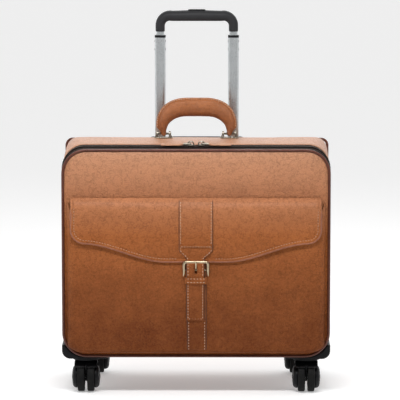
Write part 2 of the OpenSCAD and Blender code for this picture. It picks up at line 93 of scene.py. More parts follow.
world = bpy.data.worlds.new("surround")
world.use_nodes = True
sky = world.node_tree.nodes
background = sky["Background"]
background.inputs["Color"].default_value = (1, 1, 1, 1)
toward = sky.new("ShaderNodeTexCoord")
parts = sky.new("ShaderNodeSeparateXYZ")
rise = sky.new("ShaderNodeMapRange")
rise.interpolation_type = "SMOOTHSTEP"
for socket, setting in (("From Min", -0.4), ("From Max", 0.4), ("To Min", 0.07), ("To Max", 1.25)):
    rise.inputs[socket].default_value = setting
world.node_tree.links.new(toward.outputs["Object"], parts.inputs["Vector"])
world.node_tree.links.new(parts.outputs["Y"], rise.inputs["Value"])
world.node_tree.links.new(rise.outputs["Result"], background.inputs["Strength"])
scene.world = world


class Value:
    """A shader socket. Python arithmetic on it adds Math nodes to its material."""

    def __init__(self, finish, socket):
        self.finish = finish
        self.socket = socket

    def math(self, operation, first, second=0.0):
        return self.finish.node("ShaderNodeMath", {"operation": operation}, {0: first, 1: second})

    def __add__(self, other):
        return self.math("ADD", self, other)

    __radd__ = __add__

    def __sub__(self, other):
        return self.math("SUBTRACT", self, other)

    def __rsub__(self, other):
        return self.math("SUBTRACT", other, self)

    def __mul__(self, other):
        return self.math("MULTIPLY", self, other)

    __rmul__ = __mul__

    def __truediv__(self, other):
        return self.math("DIVIDE", self, other)

    def __abs__(self):
        return self.math("ABSOLUTE", self)

    def sine(self):
        return self.math("SINE", self)

    def clamp(self):
        return self.math("MINIMUM", self.math("MAXIMUM", self, 0.0), 1.0)

    def above(self, level, soft):
        """0 below level, 1 above it, with a ramp of this width between."""
        return ((self - level) / soft + 0.5).clamp()


class Finish:
    """A material in the making, with one Principled shader."""

    def __init__(self, name):
        self.material = bpy.data.materials.new(name)
        self.material.use_nodes = True
        self.tree = self.material.node_tree
        self.shader = self.tree.nodes["Principled BSDF"]

    def node(self, kind, settings, sockets, output=0):
        made = self.tree.nodes.new(kind)
        for name, setting in settings.items():
            setattr(made, name, setting)
        for name, value in sockets.items():
            self.join(value, made.inputs[name])
        return Value(self, made.outputs[output])

    def join(self, value, socket):
        if isinstance(value, Value):
            self.tree.links.new(value.socket, socket)
        elif isinstance(value, (tuple, list)) and len(value) == 3 and socket.type == "RGBA":
            socket.default_value = (*value, 1)
        else:
            socket.default_value = value

    def place(self):
        """The point on the piece, in metres."""
        return self.node("ShaderNodeTexCoord", {}, {}, "Object")

    def axis(self, point, name):
        return self.node("ShaderNodeSeparateXYZ", {}, {0: point}, name)

    def stretch(self, point, sizes):
        return self.node("ShaderNodeVectorMath", {"operation": "MULTIPLY"}, {0: point, 1: sizes})

    def noise(self, point, scale, detail=3.0, rough=0.5, output=0):
        return self.node("ShaderNodeTexNoise", {},
            {"Vector": point, "Scale": scale, "Detail": detail, "Roughness": rough}, output)

    def cells(self, point, scale, feature):
        return self.node("ShaderNodeTexVoronoi", {"feature": feature}, {"Vector": point, "Scale": scale},
            "Distance")

    def mix(self, share, first, second):
        return self.node("ShaderNodeMix", {"data_type": "RGBA"}, {0: share, 6: first, 7: second}, 2)

    def bump(self, height, distance, strength):
        sockets = {"Height": height, "Distance": distance, "Strength": strength}
        return self.node("ShaderNodeBump", {}, sockets, "Normal")

    def shade(self, **values):
        for name, value in values.items():
            self.join(value, self.shader.inputs[name.replace("_", " ")])
        return self.material


def add_object(name, verts, faces, material, smooth=True):
    mesh = bpy.data.meshes.new(name)
    mesh.from_pydata([tuple(v) for v in verts], [], faces)
    mesh.update()
    mesh.materials.append(material)
    mesh.polygons.foreach_set("use_smooth", [smooth] * len(mesh.polygons))
    made = bpy.data.objects.new(name, mesh)
    scene.collection.objects.link(made)
    return made


floor_finish = Finish("studio_floor")
floor_grain = floor_finish.noise(floor_finish.place(), 9.0)
floor_paint = floor_finish.shade(
    Base_Color=floor_finish.mix(floor_grain, (0.80, 0.80, 0.80), (0.82, 0.82, 0.82)), Roughness=0.85,
    Specular_IOR_Level=0.1,
    Emission_Color=(1.0, 1.0, 1.0), Emission_Strength=0.30)
floor_half = 30
floor_verts = [(x * floor_half, y * floor_half, 0) for x, y in ((-1, -1), (1, -1), (1, 1), (-1, 1))]
add_object("studio_floor", floor_verts, [(0, 1, 2, 3)], floor_paint, smooth=False)

# ---- The leather-covered case ----
# One hide runs round the top, the sides and the bottom, glued over board and lightly padded. It is
# closed at the back by a second panel and stops in front at the zip.
case_half = 225 * mm
case_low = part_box("bottom_wall")[0].z
zip_gap_y = (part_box("zip_front")[1].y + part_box("zip_rear")[0].y) / 2
hide_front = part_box("zip_rear")[1].y
hide_back = back_face - 4 * mm
front_edge_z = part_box("front_piping")[1].z
back_edge_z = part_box("rear_piping")[1].z - 2 * mm
dome_rise = 10.5 * mm


def ease(t):
    t = min(max(t, 0.0), 1.0)
    return t * t * (3 - 2 * t)


def dome(y):
    """Height of the domed top over its straight line from the front edge to the back edge."""
    t = (y - front_face) / (back_face - front_face)
    return front_edge_z + (back_edge_z - front_edge_z) * t + dome_rise * (1 - (2 * t - 1) ** 2)


def corner_arc(cx, cz, r, start, count):
    """Points and outward directions on a quarter circle that starts at this angle and runs anticlockwise."""
    out = []
    for i in range(count + 1):
        a = math.radians(start + 90 * i / count)
        out.append((cx + r * math.cos(a), cz + r * math.sin(a), math.cos(a), math.sin(a)))
    return out


def run(first, last, count):
    """Points between two corners, without the ends, with the direction that they share."""
    out = []
    for i in range(1, count):
        t = i / count
        out.append((first[0] + (last[0] - first[0]) * t, first[1] + (last[1] - first[1]) * t, first[2],
            first[3]))
    return out


arc_steps = 12
wide_steps = 40
tall_steps = 32


def case_outline(half, low, high, top_r, base_r):
    """A closed outline in X and Z, anticlockwise from its top right corner: (x, z, out x, out z)."""
    corners = [
        corner_arc(half - top_r, high - top_r, top_r, 0, arc_steps),
        corner_arc(top_r - half, high - top_r, top_r, 90, arc_steps),
        corner_arc(base_r - half, low + base_r, base_r, 180, arc_steps),
        corner_arc(half - base_r, low + base_r, base_r, 270, arc_steps),
    ]
    out = []
    for i in range(4):
        following = corners[(i + 1) % 4]
        out += corners[i] + run(corners[i][-1], following[0], wide_steps if i % 2 == 0 else tall_steps)
    return out


def close_loops(loops, wrap_along=False):
    """Faces that join each closed loop of points to the next."""
    n = len(loops[0])
    faces = []
    for i in range(len(loops) - (0 if wrap_along else 1)):
        a = i * n
        b = ((i + 1) % len(loops)) * n
        for j in range(n):
            k = (j + 1) % n
            faces.append((a + j, a + k, b + k, b + j))
    return faces


def capped(loops):
    """Faces that join the loops in a row and fill the first and the last."""
    n = len(loops[0])
    last = (len(loops) - 1) * n
    return close_loops(loops) + [tuple(reversed(range(n))), tuple(last + i for i in range(n))]


def points_of(loops):
    return [point for loop in loops for point in loop]


def face_out(piece):
    """Turns every face's front outwards."""
    bpy.context.view_layer.objects.active = piece
    bpy.ops.object.select_all(action="DESELECT")
    piece.select_set(True)
    bpy.ops.object.mode_set(mode="EDIT")
    bpy.ops.mesh.select_all(action="SELECT")
    bpy.ops.mesh.normals_make_consistent(inside=False)
    bpy.ops.object.mode_set(mode="OBJECT")
    return piece


def rod(name, loops, material):
    """A closed solid through a row of loops, with flat ends."""
    return face_out(add_object(name, points_of(loops), capped(loops), material))


def ring(name, loops, material):
    """A closed solid through a row of loops whose last meets its first."""
    return face_out(add_object(name, points_of(loops), close_loops(loops, wrap_along=True), material))


def join_parts(name, parts, material):
    """One object from several closed meshes."""
    verts = []
    faces = []
    for part_verts, part_faces in parts:
        start = len(verts)
        verts += part_verts
        faces += [tuple(start + i for i in face) for face in part_faces]
    return face_out(add_object(name, verts, faces, material))


def shade_smooth(piece):
    piece.data.polygons.foreach_set("use_smooth", [True] * len(piece.data.polygons))
    return piece


def finish_modifiers(piece):
    """Applies the piece's modifiers, so that what shows is its mesh."""
    shown = bpy.context.evaluated_depsgraph_get()
    solid = bpy.data.meshes.new_from_object(piece.evaluated_get(shown))
    piece.modifiers.clear()
    piece.data = solid
    return piece


def fit(piece, body, slot, *nodes):
    """The piece rides on its body and stands for these CAD nodes, which it hides. The slot is not used."""
    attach(piece, body)
    if nodes:
        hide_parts(*nodes)
    return piece


def paint(node, material):
    """A new material for a CAD node that is shown as it is."""
    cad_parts[node].data.materials.clear()
    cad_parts[node].data.materials.append(material)


# The hide's light and deep colours bound its mottle. On a hide with a falloff, the deep one is also painted
# shade at the bottom and the light one is painted light higher up. The pale one is only a painted highlight.
tan_light = (0.580, 0.192, 0.058)
tan_deep = (0.098, 0.020, 0.004)
painted_sheen_colour = (0.500, 0.290, 0.185)
# Heights of the painted light and shade on a hide: its colour is painted from the deep one at the bottom to
# the light one higher up, and on to a pale painted highlight near the top.
painted_shade_below = 0.11
painted_light_above = 0.38
painted_sheen_from = 0.27
painted_sheen_above = 0.43


def leather(name, light, deep, grain=1.0, gloss=0.34, painted_falloff=0.0, shine=0.08):
    """Pebbled, lightly waxed hide: darker in the creases between its pebbles, with a fine mottle. With a
    falloff it is also painted darker low down and paler near the top, as painted shade and painted highlight.
    """
    f = Finish(name)
    place = f.place()
    drift = f.noise(place, 260 / grain, 2.0, 0.5, 1)
    warped = f.node("ShaderNodeVectorMath", {"operation": "MULTIPLY_ADD"},
        {0: drift, 1: (0.0022, 0.0022, 0.0022), 2: place})
    pebble = f.cells(warped, 430 / grain, "SMOOTH_F1")
    crease = f.cells(warped, 430 / grain, "DISTANCE_TO_EDGE")
    crease_line = 1 - crease.above(0.07, 0.14)
    mottle = f.noise(place, 330 / grain, 5.0, 0.72)
    cloud = f.noise(place, 22, 4.0, 0.62)
    pores = f.noise(place, 1500, 2.0, 0.6)
    wrinkle = abs(f.noise(warped, 95, 5.0, 0.6) - 0.5) * 2
    wrinkle_line = 1 - wrinkle.above(0.035, 0.06)
    tone = (0.5 + (mottle - 0.5) + (cloud - 0.5) * 0.95 + (pebble - 0.35) * 0.35).clamp()
    # Painted shade and light: the colour goes to the deep one towards the bottom of the case and to the light
    # one towards the top.
    if painted_falloff:
        rise = ((f.axis(place, "Z") - painted_shade_below) / (painted_light_above - painted_shade_below)).clamp()
        tone = (tone * (1 - painted_falloff) + rise * painted_falloff).clamp()
    body = f.mix(tone, deep, light)
    rising_coat = {}
    # Painted highlight: near the top the colour turns pale and greyer in place of the lamps' sheen, and a
    # clear coat grows with it.
    if painted_falloff:
        painted_sheen_share = ((f.axis(place, "Z") - painted_sheen_from) / (painted_sheen_above - painted_sheen_from)).clamp()
        body = f.mix(painted_sheen_share * 0.7, body, painted_sheen_colour)
        rising_coat = {"Coat_Weight": painted_sheen_share * 0.45, "Coat_Roughness": 0.42}
    dark = tuple(c * 0.4 for c in deep)
    colour = f.mix(crease_line * 0.25 + wrinkle_line * 0.28, body, dark)
    colour = f.mix(pores.above(0.62, 0.2) * 0.12, colour, dark)
    rough = gloss + pores * 0.06 + crease_line * 0.12 + (1 - tone) * 0.05
    relief = pebble * -0.9 + mottle * 0.8 - crease_line * 0.35 - wrinkle_line * 0.3 + pores * 0.08
    normal = f.bump(relief, 0.0014, 0.75)
    return f.shade(Base_Color=colour, Roughness=rough, Normal=normal, Specular_IOR_Level=shine, **rising_coat)


# The hide takes the painted shade low down and the painted highlight near the top.
tan_leather = leather("tan_leather", tan_light, tan_deep, painted_falloff=0.60)

front_corner = 36 * mm
back_corner = 11 * mm
base_corner = 38 * mm
body_puff = 0.4 * mm
top_puff = 0.8 * mm
seam_draw = 1.6 * mm
top_draw = 1.0 * mm
board = 3.9 * mm


def body_loop(y, inset):
    """The hide's outline at this depth, taken in by inset, puffed between its front and back seams."""
    t = (y - hide_front) / (hide_back - hide_front)
    swell = math.sin(math.pi * min(max(t, 0), 1)) ** 0.6
    half = case_half - seam_draw + body_puff * swell - seam_draw * ease(t)
    high = dome(y) - top_draw + top_puff * swell
    top_r = front_corner + (back_corner - front_corner) * t
    loop = []
    for x, z, nx, nz in case_outline(half, case_low, high, top_r, base_corner):
        dent = noise.noise(Vector((x * 14, y * 18, z * 14))) * 0.9 * mm * swell
        dent += noise.noise(Vector((x * 45, y * 60 + 7, z * 45))) * 0.25 * mm
        push = (0 if inset else dent) - inset
        loop.append((x + nx * push, y, z + nz * push))
    return loop


seam_lip = 1.5 * mm
depth_steps = 34
depths = [hide_front + (hide_back - hide_front) * i / depth_steps for i in range(depth_steps + 1)]
outer_loops = [body_loop(y, 0) for y in depths]
inner_loops = [body_loop(y, board) for y in reversed(depths)]
front_lip = body_loop(hide_front, seam_lip)
back_lip = body_loop(hide_back, seam_lip)
case_hide = ring("case_hide", [front_lip] + outer_loops + [back_lip] + inner_loops, tan_leather)

# The slot in the hide under the trolley's bezel.
bezel_low, bezel_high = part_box("trolley_bezel")


def prism(outline, low, high):
    """Vertices and faces of a closed prism in Z from an outline in X and Y."""
    n = len(outline)
    verts = [(x, y, low) for x, y in outline] + [(x, y, high) for x, y in outline]
    faces = [tuple(reversed(range(n))), tuple(range(n, 2 * n))]
    return verts, faces + [(i, (i + 1) % n, n + (i + 1) % n, n + i) for i in range(n)]


def cutter(name, outline, low, high):
    """A prism used to cut a hole and then deleted."""
    verts, faces = prism(outline, low, high)
    return face_out(add_object(name, verts, faces, tan_leather, smooth=False))


def cut(piece, tool):
    trim = piece.modifiers.new("cut", "BOOLEAN")
    trim.operation = "DIFFERENCE"
    trim.solver = "EXACT"
    trim.object = tool
    finish_modifiers(piece)
    bpy.data.objects.remove(tool)
    return piece


def rounded_plan(half_x, mid_y, half_y, r, arc=6):
    """A rounded rectangle in X and Y."""
    out = []
    for sx, sy, start in ((1, 1, 0), (-1, 1, 90), (-1, -1, 180), (1, -1, 270)):
        corner = corner_arc(sx * (half_x - r), mid_y + sy * (half_y - r), r, start, arc)
        out += [point[:2] for point in corner]
    return out


def plan_outline(low, high, r, grow):
    """A rounded rectangle round the plan of a box, larger than it by grow on each side."""
    half_x = (high.x - low.x) / 2 + grow
    half_y = (high.y - low.y) / 2 + grow
    return rounded_plan(half_x, (high.y + low.y) / 2, half_y, r)


sill_front = front_face + 7 * mm
sill_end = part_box("zip_front")[0].z
sill_half = case_half - seam_draw
sill_turn_z = case_low + base_corner
# The sill's section: how far it is sunk below the hide, and how far back from its front edge, in millimetres.
sill_section = [(1.2, 0.0), (0.0, 1.4), (0.0, 30.0), (2.0, 33.0), (3.9, 33.0), (3.9, 0.0)]
right_turn = list(reversed(corner_arc(sill_half - base_corner, sill_turn_z, base_corner, 270, arc_steps)))
left_turn = list(reversed(corner_arc(base_corner - sill_half, sill_turn_z, base_corner, 180, arc_steps)))
sill_path = [(sill_half, sill_end, 1, 0)] + right_turn + run(right_turn[-1], left_turn[0], wide_steps)
sill_path += left_turn + [(-sill_half, sill_end, -1, 0)]
sill_loops = []
for x, z, nx, nz in sill_path:
    sill_loops.append([(x - nx * sink * mm, sill_front + y * mm, z - nz * sink * mm)
        for sink, y in sill_section])
fit(rod("case_sill", sill_loops, tan_leather), "case", "tan_leather")

bezel_outline = plan_outline(bezel_low, bezel_high, 8 * mm, 0.1 * mm)
cut(case_hide, cutter("bezel_cut", bezel_outline, bezel_high.z - 30 * mm, bezel_high.z + 30 * mm))
fit(case_hide, "case", "tan_leather", "top_wall", "side_wall_left", "side_wall_right", "bottom_wall")

# ---- Back and front panels ----
# Two crowned boards under leather. The front one is padded above the pocket; both are turned in at
# the edge and sewn against the piping.


def round_corner(u, v, half_w, half_h, r, bottom_only=False, top_r=None):
    """A point of the square -1..1 mapped smoothly onto a rounded rectangle."""
    x = u * half_w
    z = v * half_h
    if top_r and z > 0:
        r = top_r
    a = (abs(x) - (half_w - r)) / r
    b = (abs(z) - (half_h - r)) / r
    if a > 0 and b > 0 and not (bottom_only and z > 0):
        x = math.copysign(half_w - r + r * a * math.sqrt(1 - b * b / 2), x)
        z = math.copysign(half_h - r + r * b * math.sqrt(1 - a * a / 2), z)
    return x, z


def edge_distance(x, z, half_w, half_h, r):
    """How far a point lies inside a rounded rectangle."""
    qx = abs(x) - (half_w - r)
    qz = abs(z) - (half_h - r)
    outside = math.hypot(max(qx, 0), max(qz, 0))
    return r - outside - min(max(qx, qz), 0)


def spread(half, edge_steps, step):
    """Places from -1 to 1, close together near both ends, for a side of this half length."""
    near = [e / half for e in edge_steps]
    inner = 1 - near[-1]
    count = max(2, int(2 * inner * half / step))
    middle = [-inner + 2 * inner * i / count for i in range(1, count)]
    return [-1 + e for e in near] + middle + [1 - e for e in reversed(near)]


def sheet_faces(columns, rows, start=0, flip=False):
    faces = []
    for j in range(rows - 1):
        for i in range(columns - 1):
            a = start + j * columns + i
            face = (a, a + 1, a + columns + 1, a + columns)
            faces.append(tuple(reversed(face)) if flip else face)
    return faces


def rim_indices(columns, rows):
    """The indices round the edge of a grid, in order."""
    low = list(range(columns))
    right = [j * columns + columns - 1 for j in range(1, rows)]
    top = [(rows - 1) * columns + i for i in range(columns - 2, -1, -1)]
    left_side = [j * columns for j in range(rows - 2, 0, -1)]
    return low + right + top + left_side


def slab_between(name, face, back, columns, rows, material):
    """A closed solid between two grids of points with the same layout."""
    n = columns * rows
    faces = sheet_faces(columns, rows) + sheet_faces(columns, rows, n, flip=True)
    rim = rim_indices(columns, rows)
    for i, a in enumerate(rim):
        b = rim[(i + 1) % len(rim)]
        faces.append((b, a, n + a, n + b))
    return face_out(add_object(name, face + back, faces, material))


fine_edge = [e * mm for e in (0, 0.5, 1.2, 2.2, 3.5, 5, 7, 10, 14, 20)]


def crowned_panel(name, node, r, outward, crown, material, top_r=None):
    """A board with a leather face: node gives its place, outward is -1 at the front and 1 at the back."""
    low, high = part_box(node)
    half_w = (high.x - low.x) / 2
    half_h = (high.z - low.z) / 2
    mid_z = (high.z + low.z) / 2
    columns = spread(half_w, fine_edge, 9 * mm)
    rows = spread(half_h, fine_edge, 9 * mm)
    outer_y = low.y if outward < 0 else high.y
    inner_y = high.y if outward < 0 else low.y
    face = []
    back = []
    for v in rows:
        for u in columns:
            x, z = round_corner(u, v, half_w, half_h, r, top_r=top_r)
            inside = edge_distance(x, z, half_w, half_h, top_r if top_r and z > 0 else r)
            face.append((x, outer_y + outward * crown(x, z + mid_z, inside), z + mid_z))
            back.append((x, inner_y, z + mid_z))
    return slab_between(name, face, back, len(columns), len(rows), material)


def back_crown(x, z, inside):
    swell = 1 - math.exp(-inside / (9 * mm))
    dent = noise.noise(Vector((x * 12, 3, z * 12))) * 0.5 * mm
    return -1.6 * mm + swell * (3.0 * mm + dent)


fold_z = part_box("pocket_flap")[1].z


def front_crown(x, z, inside):
    swell = 1 - math.exp(-inside / (7 * mm))
    pad = math.sin(math.pi * min(max((z - fold_z - 9 * mm) / (67 * mm), 0), 1)) ** 0.7
    pad -= 0.75 * math.exp(-(((z - fold_z - 3 * mm) / (9 * mm)) ** 2))
    dent = noise.noise(Vector((x * 11, 8, z * 14))) * 0.6 * mm
    dent += noise.noise(Vector((x * 40, 2, z * 40))) * 0.2 * mm
    return -2.0 * mm + swell * (2.4 * mm + 2.6 * mm * pad + dent)


panel_r = 25.4 * mm
back_leather = crowned_panel("back_panel_leather", "back_panel", panel_r, 1, back_crown, tan_leather,
    top_r=8.5 * mm)
fit(back_leather, "case", "tan_leather", "back_panel")
front_r = 37.4 * mm
front_leather = crowned_panel("front_panel_leather", "front_panel", front_r, -1, front_crown, tan_leather)
fit(front_leather, "front_lid", "tan_leather", "front_panel")

# ---- Piping ----
# A cord wrapped in thin, dark, polished leather, sewn into the seam round the front and back panels.
piping = Finish("piping_leather")
piping_place = piping.place()
piping_wrap = piping.noise(piping_place, 260, 3.0, 0.6)
piping_dull = piping.noise(piping_place, 34, 2.0)
piping_tone = (piping_wrap * 0.8 + piping_dull * 0.6 - 0.2).clamp()
piping_paint = piping.shade(
    Base_Color=piping.mix(piping_tone, (0.042, 0.010, 0.006), (0.125, 0.036, 0.019)),
    Roughness=0.26 + piping_wrap * 0.12, Specular_IOR_Level=0.35,
    Normal=piping.bump(piping_wrap, 0.0006, 0.5))
paint("front_piping", piping_paint)
cord_r = 2.25 * mm
cord_low, cord_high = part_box("rear_piping")
cord_half = cord_high.x - cord_r
cord_top = cord_high.z - cord_r + 1.2 * mm
cord_outline = case_outline(cord_half, cord_low.z + cord_r, cord_top, back_corner, 28 * mm)
cord_angles = [2 * math.pi * k / 12 for k in range(12)]
cord_loops = []
for x, z, nx, nz in cord_outline:
    cord_loops.append([
        (x + nx * cord_r * math.cos(a), back_face + cord_r * math.sin(a), z + nz * cord_r * math.cos(a))
        for a in cord_angles])
fit(ring("rear_piping_cord", cord_loops, piping_paint), "case", "piping_leather", "rear_piping")

# ---- Lining ----
# Dark woven polyester, glued to the boards inside the case and to the back of the front panel.
lining = Finish("lining_cloth")
lining_place = lining.place()
weave_pitch = 2 * math.pi / (0.9 * mm)
warp = (lining.axis(lining_place, "X") * weave_pitch).sine()
weft = ((lining.axis(lining_place, "Z") + lining.axis(lining_place, "Y")) * weave_pitch).sine()
weave = warp * weft * 0.5 + 0.5
lint = lining.noise(lining_place, 40, 4.0, 0.6)
lining_paint = lining.shade(
    Base_Color=lining.mix((weave * 0.5 + lint * 0.5).clamp(), (0.016, 0.014, 0.013), (0.050, 0.045, 0.042)),
    Roughness=0.86 + lint * 0.1, Sheen_Weight=0.25, Sheen_Roughness=0.5,
    Normal=lining.bump(weave, 0.0003, 0.6))


paint("lining", lining_paint)
paint("trolley_cover", lining_paint)
lid_low, lid_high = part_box("front_panel")
lining_margin = 3 * mm
lid_half_w = (lid_high.x - lid_low.x) / 2 - lining_margin
lid_half_h = (lid_high.z - lid_low.z) / 2 - lining_margin
lid_mid_z = (lid_high.z + lid_low.z) / 2
lid_columns = spread(lid_half_w, fine_edge, 16 * mm)
lid_rows = spread(lid_half_h, fine_edge, 16 * mm)


def lid_lining_grid(y):
    points = []
    for v in lid_rows:
        for u in lid_columns:
            x, z = round_corner(u, v, lid_half_w, lid_half_h, front_r - lining_margin)
            inside = edge_distance(x, z, lid_half_w, lid_half_h, front_r - lining_margin)
            puff = (1 - math.exp(-inside / (12 * mm))) * 0.8 * mm
            points.append((x, y + puff, z + lid_mid_z))
    return points


lid_inside = lid_lining_grid(lid_high.y + 0.9 * mm)
lid_backing = lid_lining_grid(lid_high.y + 0.05 * mm)
lid_lining = slab_between("lid_lining", lid_inside, lid_backing, len(lid_columns), len(lid_rows),
    lining_paint)
fit(lid_lining, "front_lid", "lining_cloth")

# ---- Front pocket ----
# A bellows pocket cut from one hide: its face is pulled back into the seam at the sides and the
# bottom, and its mouth stands open under the flap.
pocket_low, pocket_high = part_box("pocket_panel")
pocket_half = pocket_high.x
pocket_depth = pocket_high.y - pocket_low.y
pocket_r = 32 * mm
pocket_skin = 2.3 * mm
shoulder_drop = 15 * mm


def pocket_bulge(inside):
    """Share of the pocket's depth, this far in from its seam."""
    t = min(max(inside / (15 * mm), 0), 1)
    return math.sqrt(1 - (1 - t) ** 2.2)


def pocket_point(u, v, skin):
    tall = pocket_high.z - pocket_low.z
    x, z = round_corner(u, v, pocket_half - skin, tall, pocket_r - skin, bottom_only=True)
    inside = edge_distance(x, min(z, 0), pocket_half - skin, tall, pocket_r - skin)
    out = pocket_bulge(inside)
    share = (z + tall) / (2 * tall)
    height = pocket_high.z - (0 if share > 1 else shoulder_drop * out * share)
    z = pocket_low.z + skin + (height - pocket_low.z - skin) * share
    sag = 2.4 * mm * math.sin(math.pi * min(share * 1.1, 1)) * out * (1 - (x / pocket_half) ** 2)
    dent = noise.noise(Vector((x * 9, 5, z * 11))) * 1.1 * mm + noise.noise(Vector((x * 32, 9,
        z * 32))) * 0.3 * mm
    depth = pocket_depth - skin
    y = front_face - 0.3 * mm - out * (depth - 0.3 * mm + (sag + dent) * (1 if share < 0.95 else 0.5))
    return x, y, z


pocket_columns = spread(pocket_half, [e * mm for e in (0, 0.4, 1, 2, 3.5, 5.5, 8, 11, 15, 20)], 7 * mm)
pocket_rows = [-1 + 2 * t for t in (0, 0.001, 0.003, 0.006, 0.011, 0.018, 0.028, 0.042, 0.06)]
pocket_rows += [-0.88 + 1.86 * i / 34 for i in range(1, 34)] + [0.98, 0.995, 1]
pocket_outside = [pocket_point(u, v, 0) for v in pocket_rows for u in pocket_columns]
pocket_inside = [pocket_point(u, v, pocket_skin) for v in pocket_rows for u in pocket_columns]
pocket = slab_between("pocket_leather", pocket_outside, pocket_inside, len(pocket_columns),
    len(pocket_rows), tan_leather)
fit(pocket, "front_lid", "tan_leather", "pocket_panel")

# ---- Stitching ----
# Waxed linen thread in a pale beige, a little proud of the leather and sunk where it goes in.
thread = Finish("beige_thread")
thread_twist = thread.noise(thread.place(), 1900, 2.0)
thread_paint = thread.shade(
    Base_Color=thread.mix(thread_twist, (0.42, 0.28, 0.18), (0.66, 0.51, 0.38)),
    Roughness=0.7, Normal=thread.bump(thread_twist, 0.0002, 0.6))
stitch_pitch = 4.6 * mm
stitch_length = 2.7 * mm
stitch_r = 0.55 * mm
# Along a stitch, as shares of its length and of its radius.
stitch_profile = [(-0.5, 0.25), (-0.34, 0.85), (0, 1), (0.34, 0.85), (0.5, 0.25)]
stitch_angles = [2 * math.pi * k / 6 for k in range(6)]


def stitches(name, lines, body, slot, pitch=stitch_pitch, r=stitch_r):
    """Stitches along polylines. Each line is a list of points on the leather's surface."""
    parts = []
    for line in lines:
        points = [Vector(p) for p in line]
        lengths = [(b - a).length for a, b in zip(points, points[1:])]
        count = max(1, int(sum(lengths) / pitch))
        for i in range(count):
            want = (i + 0.5) * sum(lengths) / count
            k = 0
            while k < len(lengths) - 1 and want > lengths[k]:
                want -= lengths[k]
                k += 1
            along = (points[k + 1] - points[k]).normalized()
            middle = points[k] + along * want
            side = along.cross(Vector((0, 1, 0)) if abs(along.y) < 0.9 else Vector((1, 0, 0))).normalized()
            up = along.cross(side)
            loops = []
            for t, thick in stitch_profile:
                at = middle + along * (t * stitch_length)
                loops.append([at + (side * math.cos(a) + up * math.sin(a)) * (r * thick)
                    for a in stitch_angles])
            parts.append((points_of(loops), capped(loops)))
    return fit(join_parts(name, parts, thread_paint), body, slot)


# ---- Pocket flap ----
# The flap rolls forward from its seam, hangs over the pocket's mouth, and has a turned edge with one
# row of stitching inside it. Its lower edge dips in a soft wave towards the strap.
flap_low, flap_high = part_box("pocket_flap")
flap_half = flap_high.x
flap_front = flap_low.y
flap_skin = 2.6 * mm
flap_corner = 24 * mm
wave_start = 50 * mm
wave_end = 190 * mm
edge_low = flap_low.z
edge_rise = 31 * mm


def flap_edge(x):
    return edge_low + edge_rise * ease((abs(x) - wave_start) / (wave_end - wave_start))


def flap_profile(down):
    """Place of the flap's outer face, this far below its fold: a slope over the mouth, then the face."""
    seam_y = front_face - 3.2 * mm
    face_y = flap_front - 0.6 * mm
    slope_end = 27 * mm
    t = min(down / slope_end, 1)
    lift = 1.2 * mm * ease((down - 40 * mm) / (60 * mm))
    return seam_y + (face_y - seam_y) * math.sin(t * math.pi / 2) ** 0.8 - lift


def flap_point(u, v, skin):
    """v runs from 0 at the fold to 1 at the lower edge."""
    edge_corner = flap_edge(flap_half - flap_corner)
    tall = fold_z - edge_corner
    x, z = round_corner(u, 1 - 2 * v, flap_half, tall / 2, flap_corner, bottom_only=True)
    down = (tall / 2 - z) * (fold_z - flap_edge(x)) / tall
    inside_x = flap_half - abs(x)
    inside_z = (fold_z - flap_edge(x)) - down
    corner_x = max(flap_corner - inside_x, 0)
    corner_z = max(flap_corner - inside_z, 0)
    inside = flap_corner - math.hypot(corner_x, corner_z) if corner_x and corner_z else min(inside_x,
        inside_z)
    inside = max(inside, 0)
    bead = 1.5 * mm * math.exp(-(((inside - 2.3 * mm) / (1.9 * mm)) ** 2))
    groove = 0.8 * mm * math.exp(-(((inside - 5.6 * mm) / (0.9 * mm)) ** 2))
    rounded = 1.5 * mm * (1 - ease(inside / (1.6 * mm)))
    centre = 1 - (x / flap_half) ** 2
    soft = 1.6 * mm * math.sin(math.pi * min(down / (100 * mm), 1)) * (0.4 + 0.6 * centre)
    dent = noise.noise(Vector((x * 10, 1, down * 16))) * 0.9 * mm * min(down / (20 * mm), 1)
    dent += noise.noise(Vector((x * 36, 6, down * 36))) * 0.25 * mm
    y = flap_profile(down) - soft - dent
    z = fold_z + 1.5 * mm - down
    if down < 12 * mm:
        z -= 2.2 * mm * (1 - ease(down / (12 * mm)))
    if skin:
        y += skin - rounded * 0.5
        z -= 1.2 * mm * max(0, 1 - down / (20 * mm))
    else:
        y += groove + rounded - bead
    return x, y, z, inside


flap_columns = spread(flap_half, [e * mm for e in (0, 0.5, 1.1, 1.9, 2.8, 3.8, 4.6, 5.2, 5.8, 6.6, 8.5, 12,
    17, 24)], 6 * mm)
flap_rows = [0, 0.006, 0.014, 0.025, 0.04, 0.06, 0.085, 0.115, 0.15, 0.19, 0.24, 0.30, 0.37, 0.45, 0.53,
    0.61, 0.68, 0.74, 0.79]
flap_rows += [0.83, 0.865, 0.892, 0.914, 0.930, 0.9385, 0.946, 0.953, 0.962, 0.972, 0.981, 0.988, 0.994,
    0.9975, 1]
flap_face = [flap_point(u, v, 0)[:3] for v in flap_rows for u in flap_columns]
flap_under = [flap_point(u, v, flap_skin)[:3] for v in flap_rows for u in flap_columns]
flap = slab_between("flap_leather", flap_face, flap_under, len(flap_columns), len(flap_rows), tan_leather)
fit(flap, "flap", "tan_leather", "pocket_flap")

stitch_in = 6.4 * mm


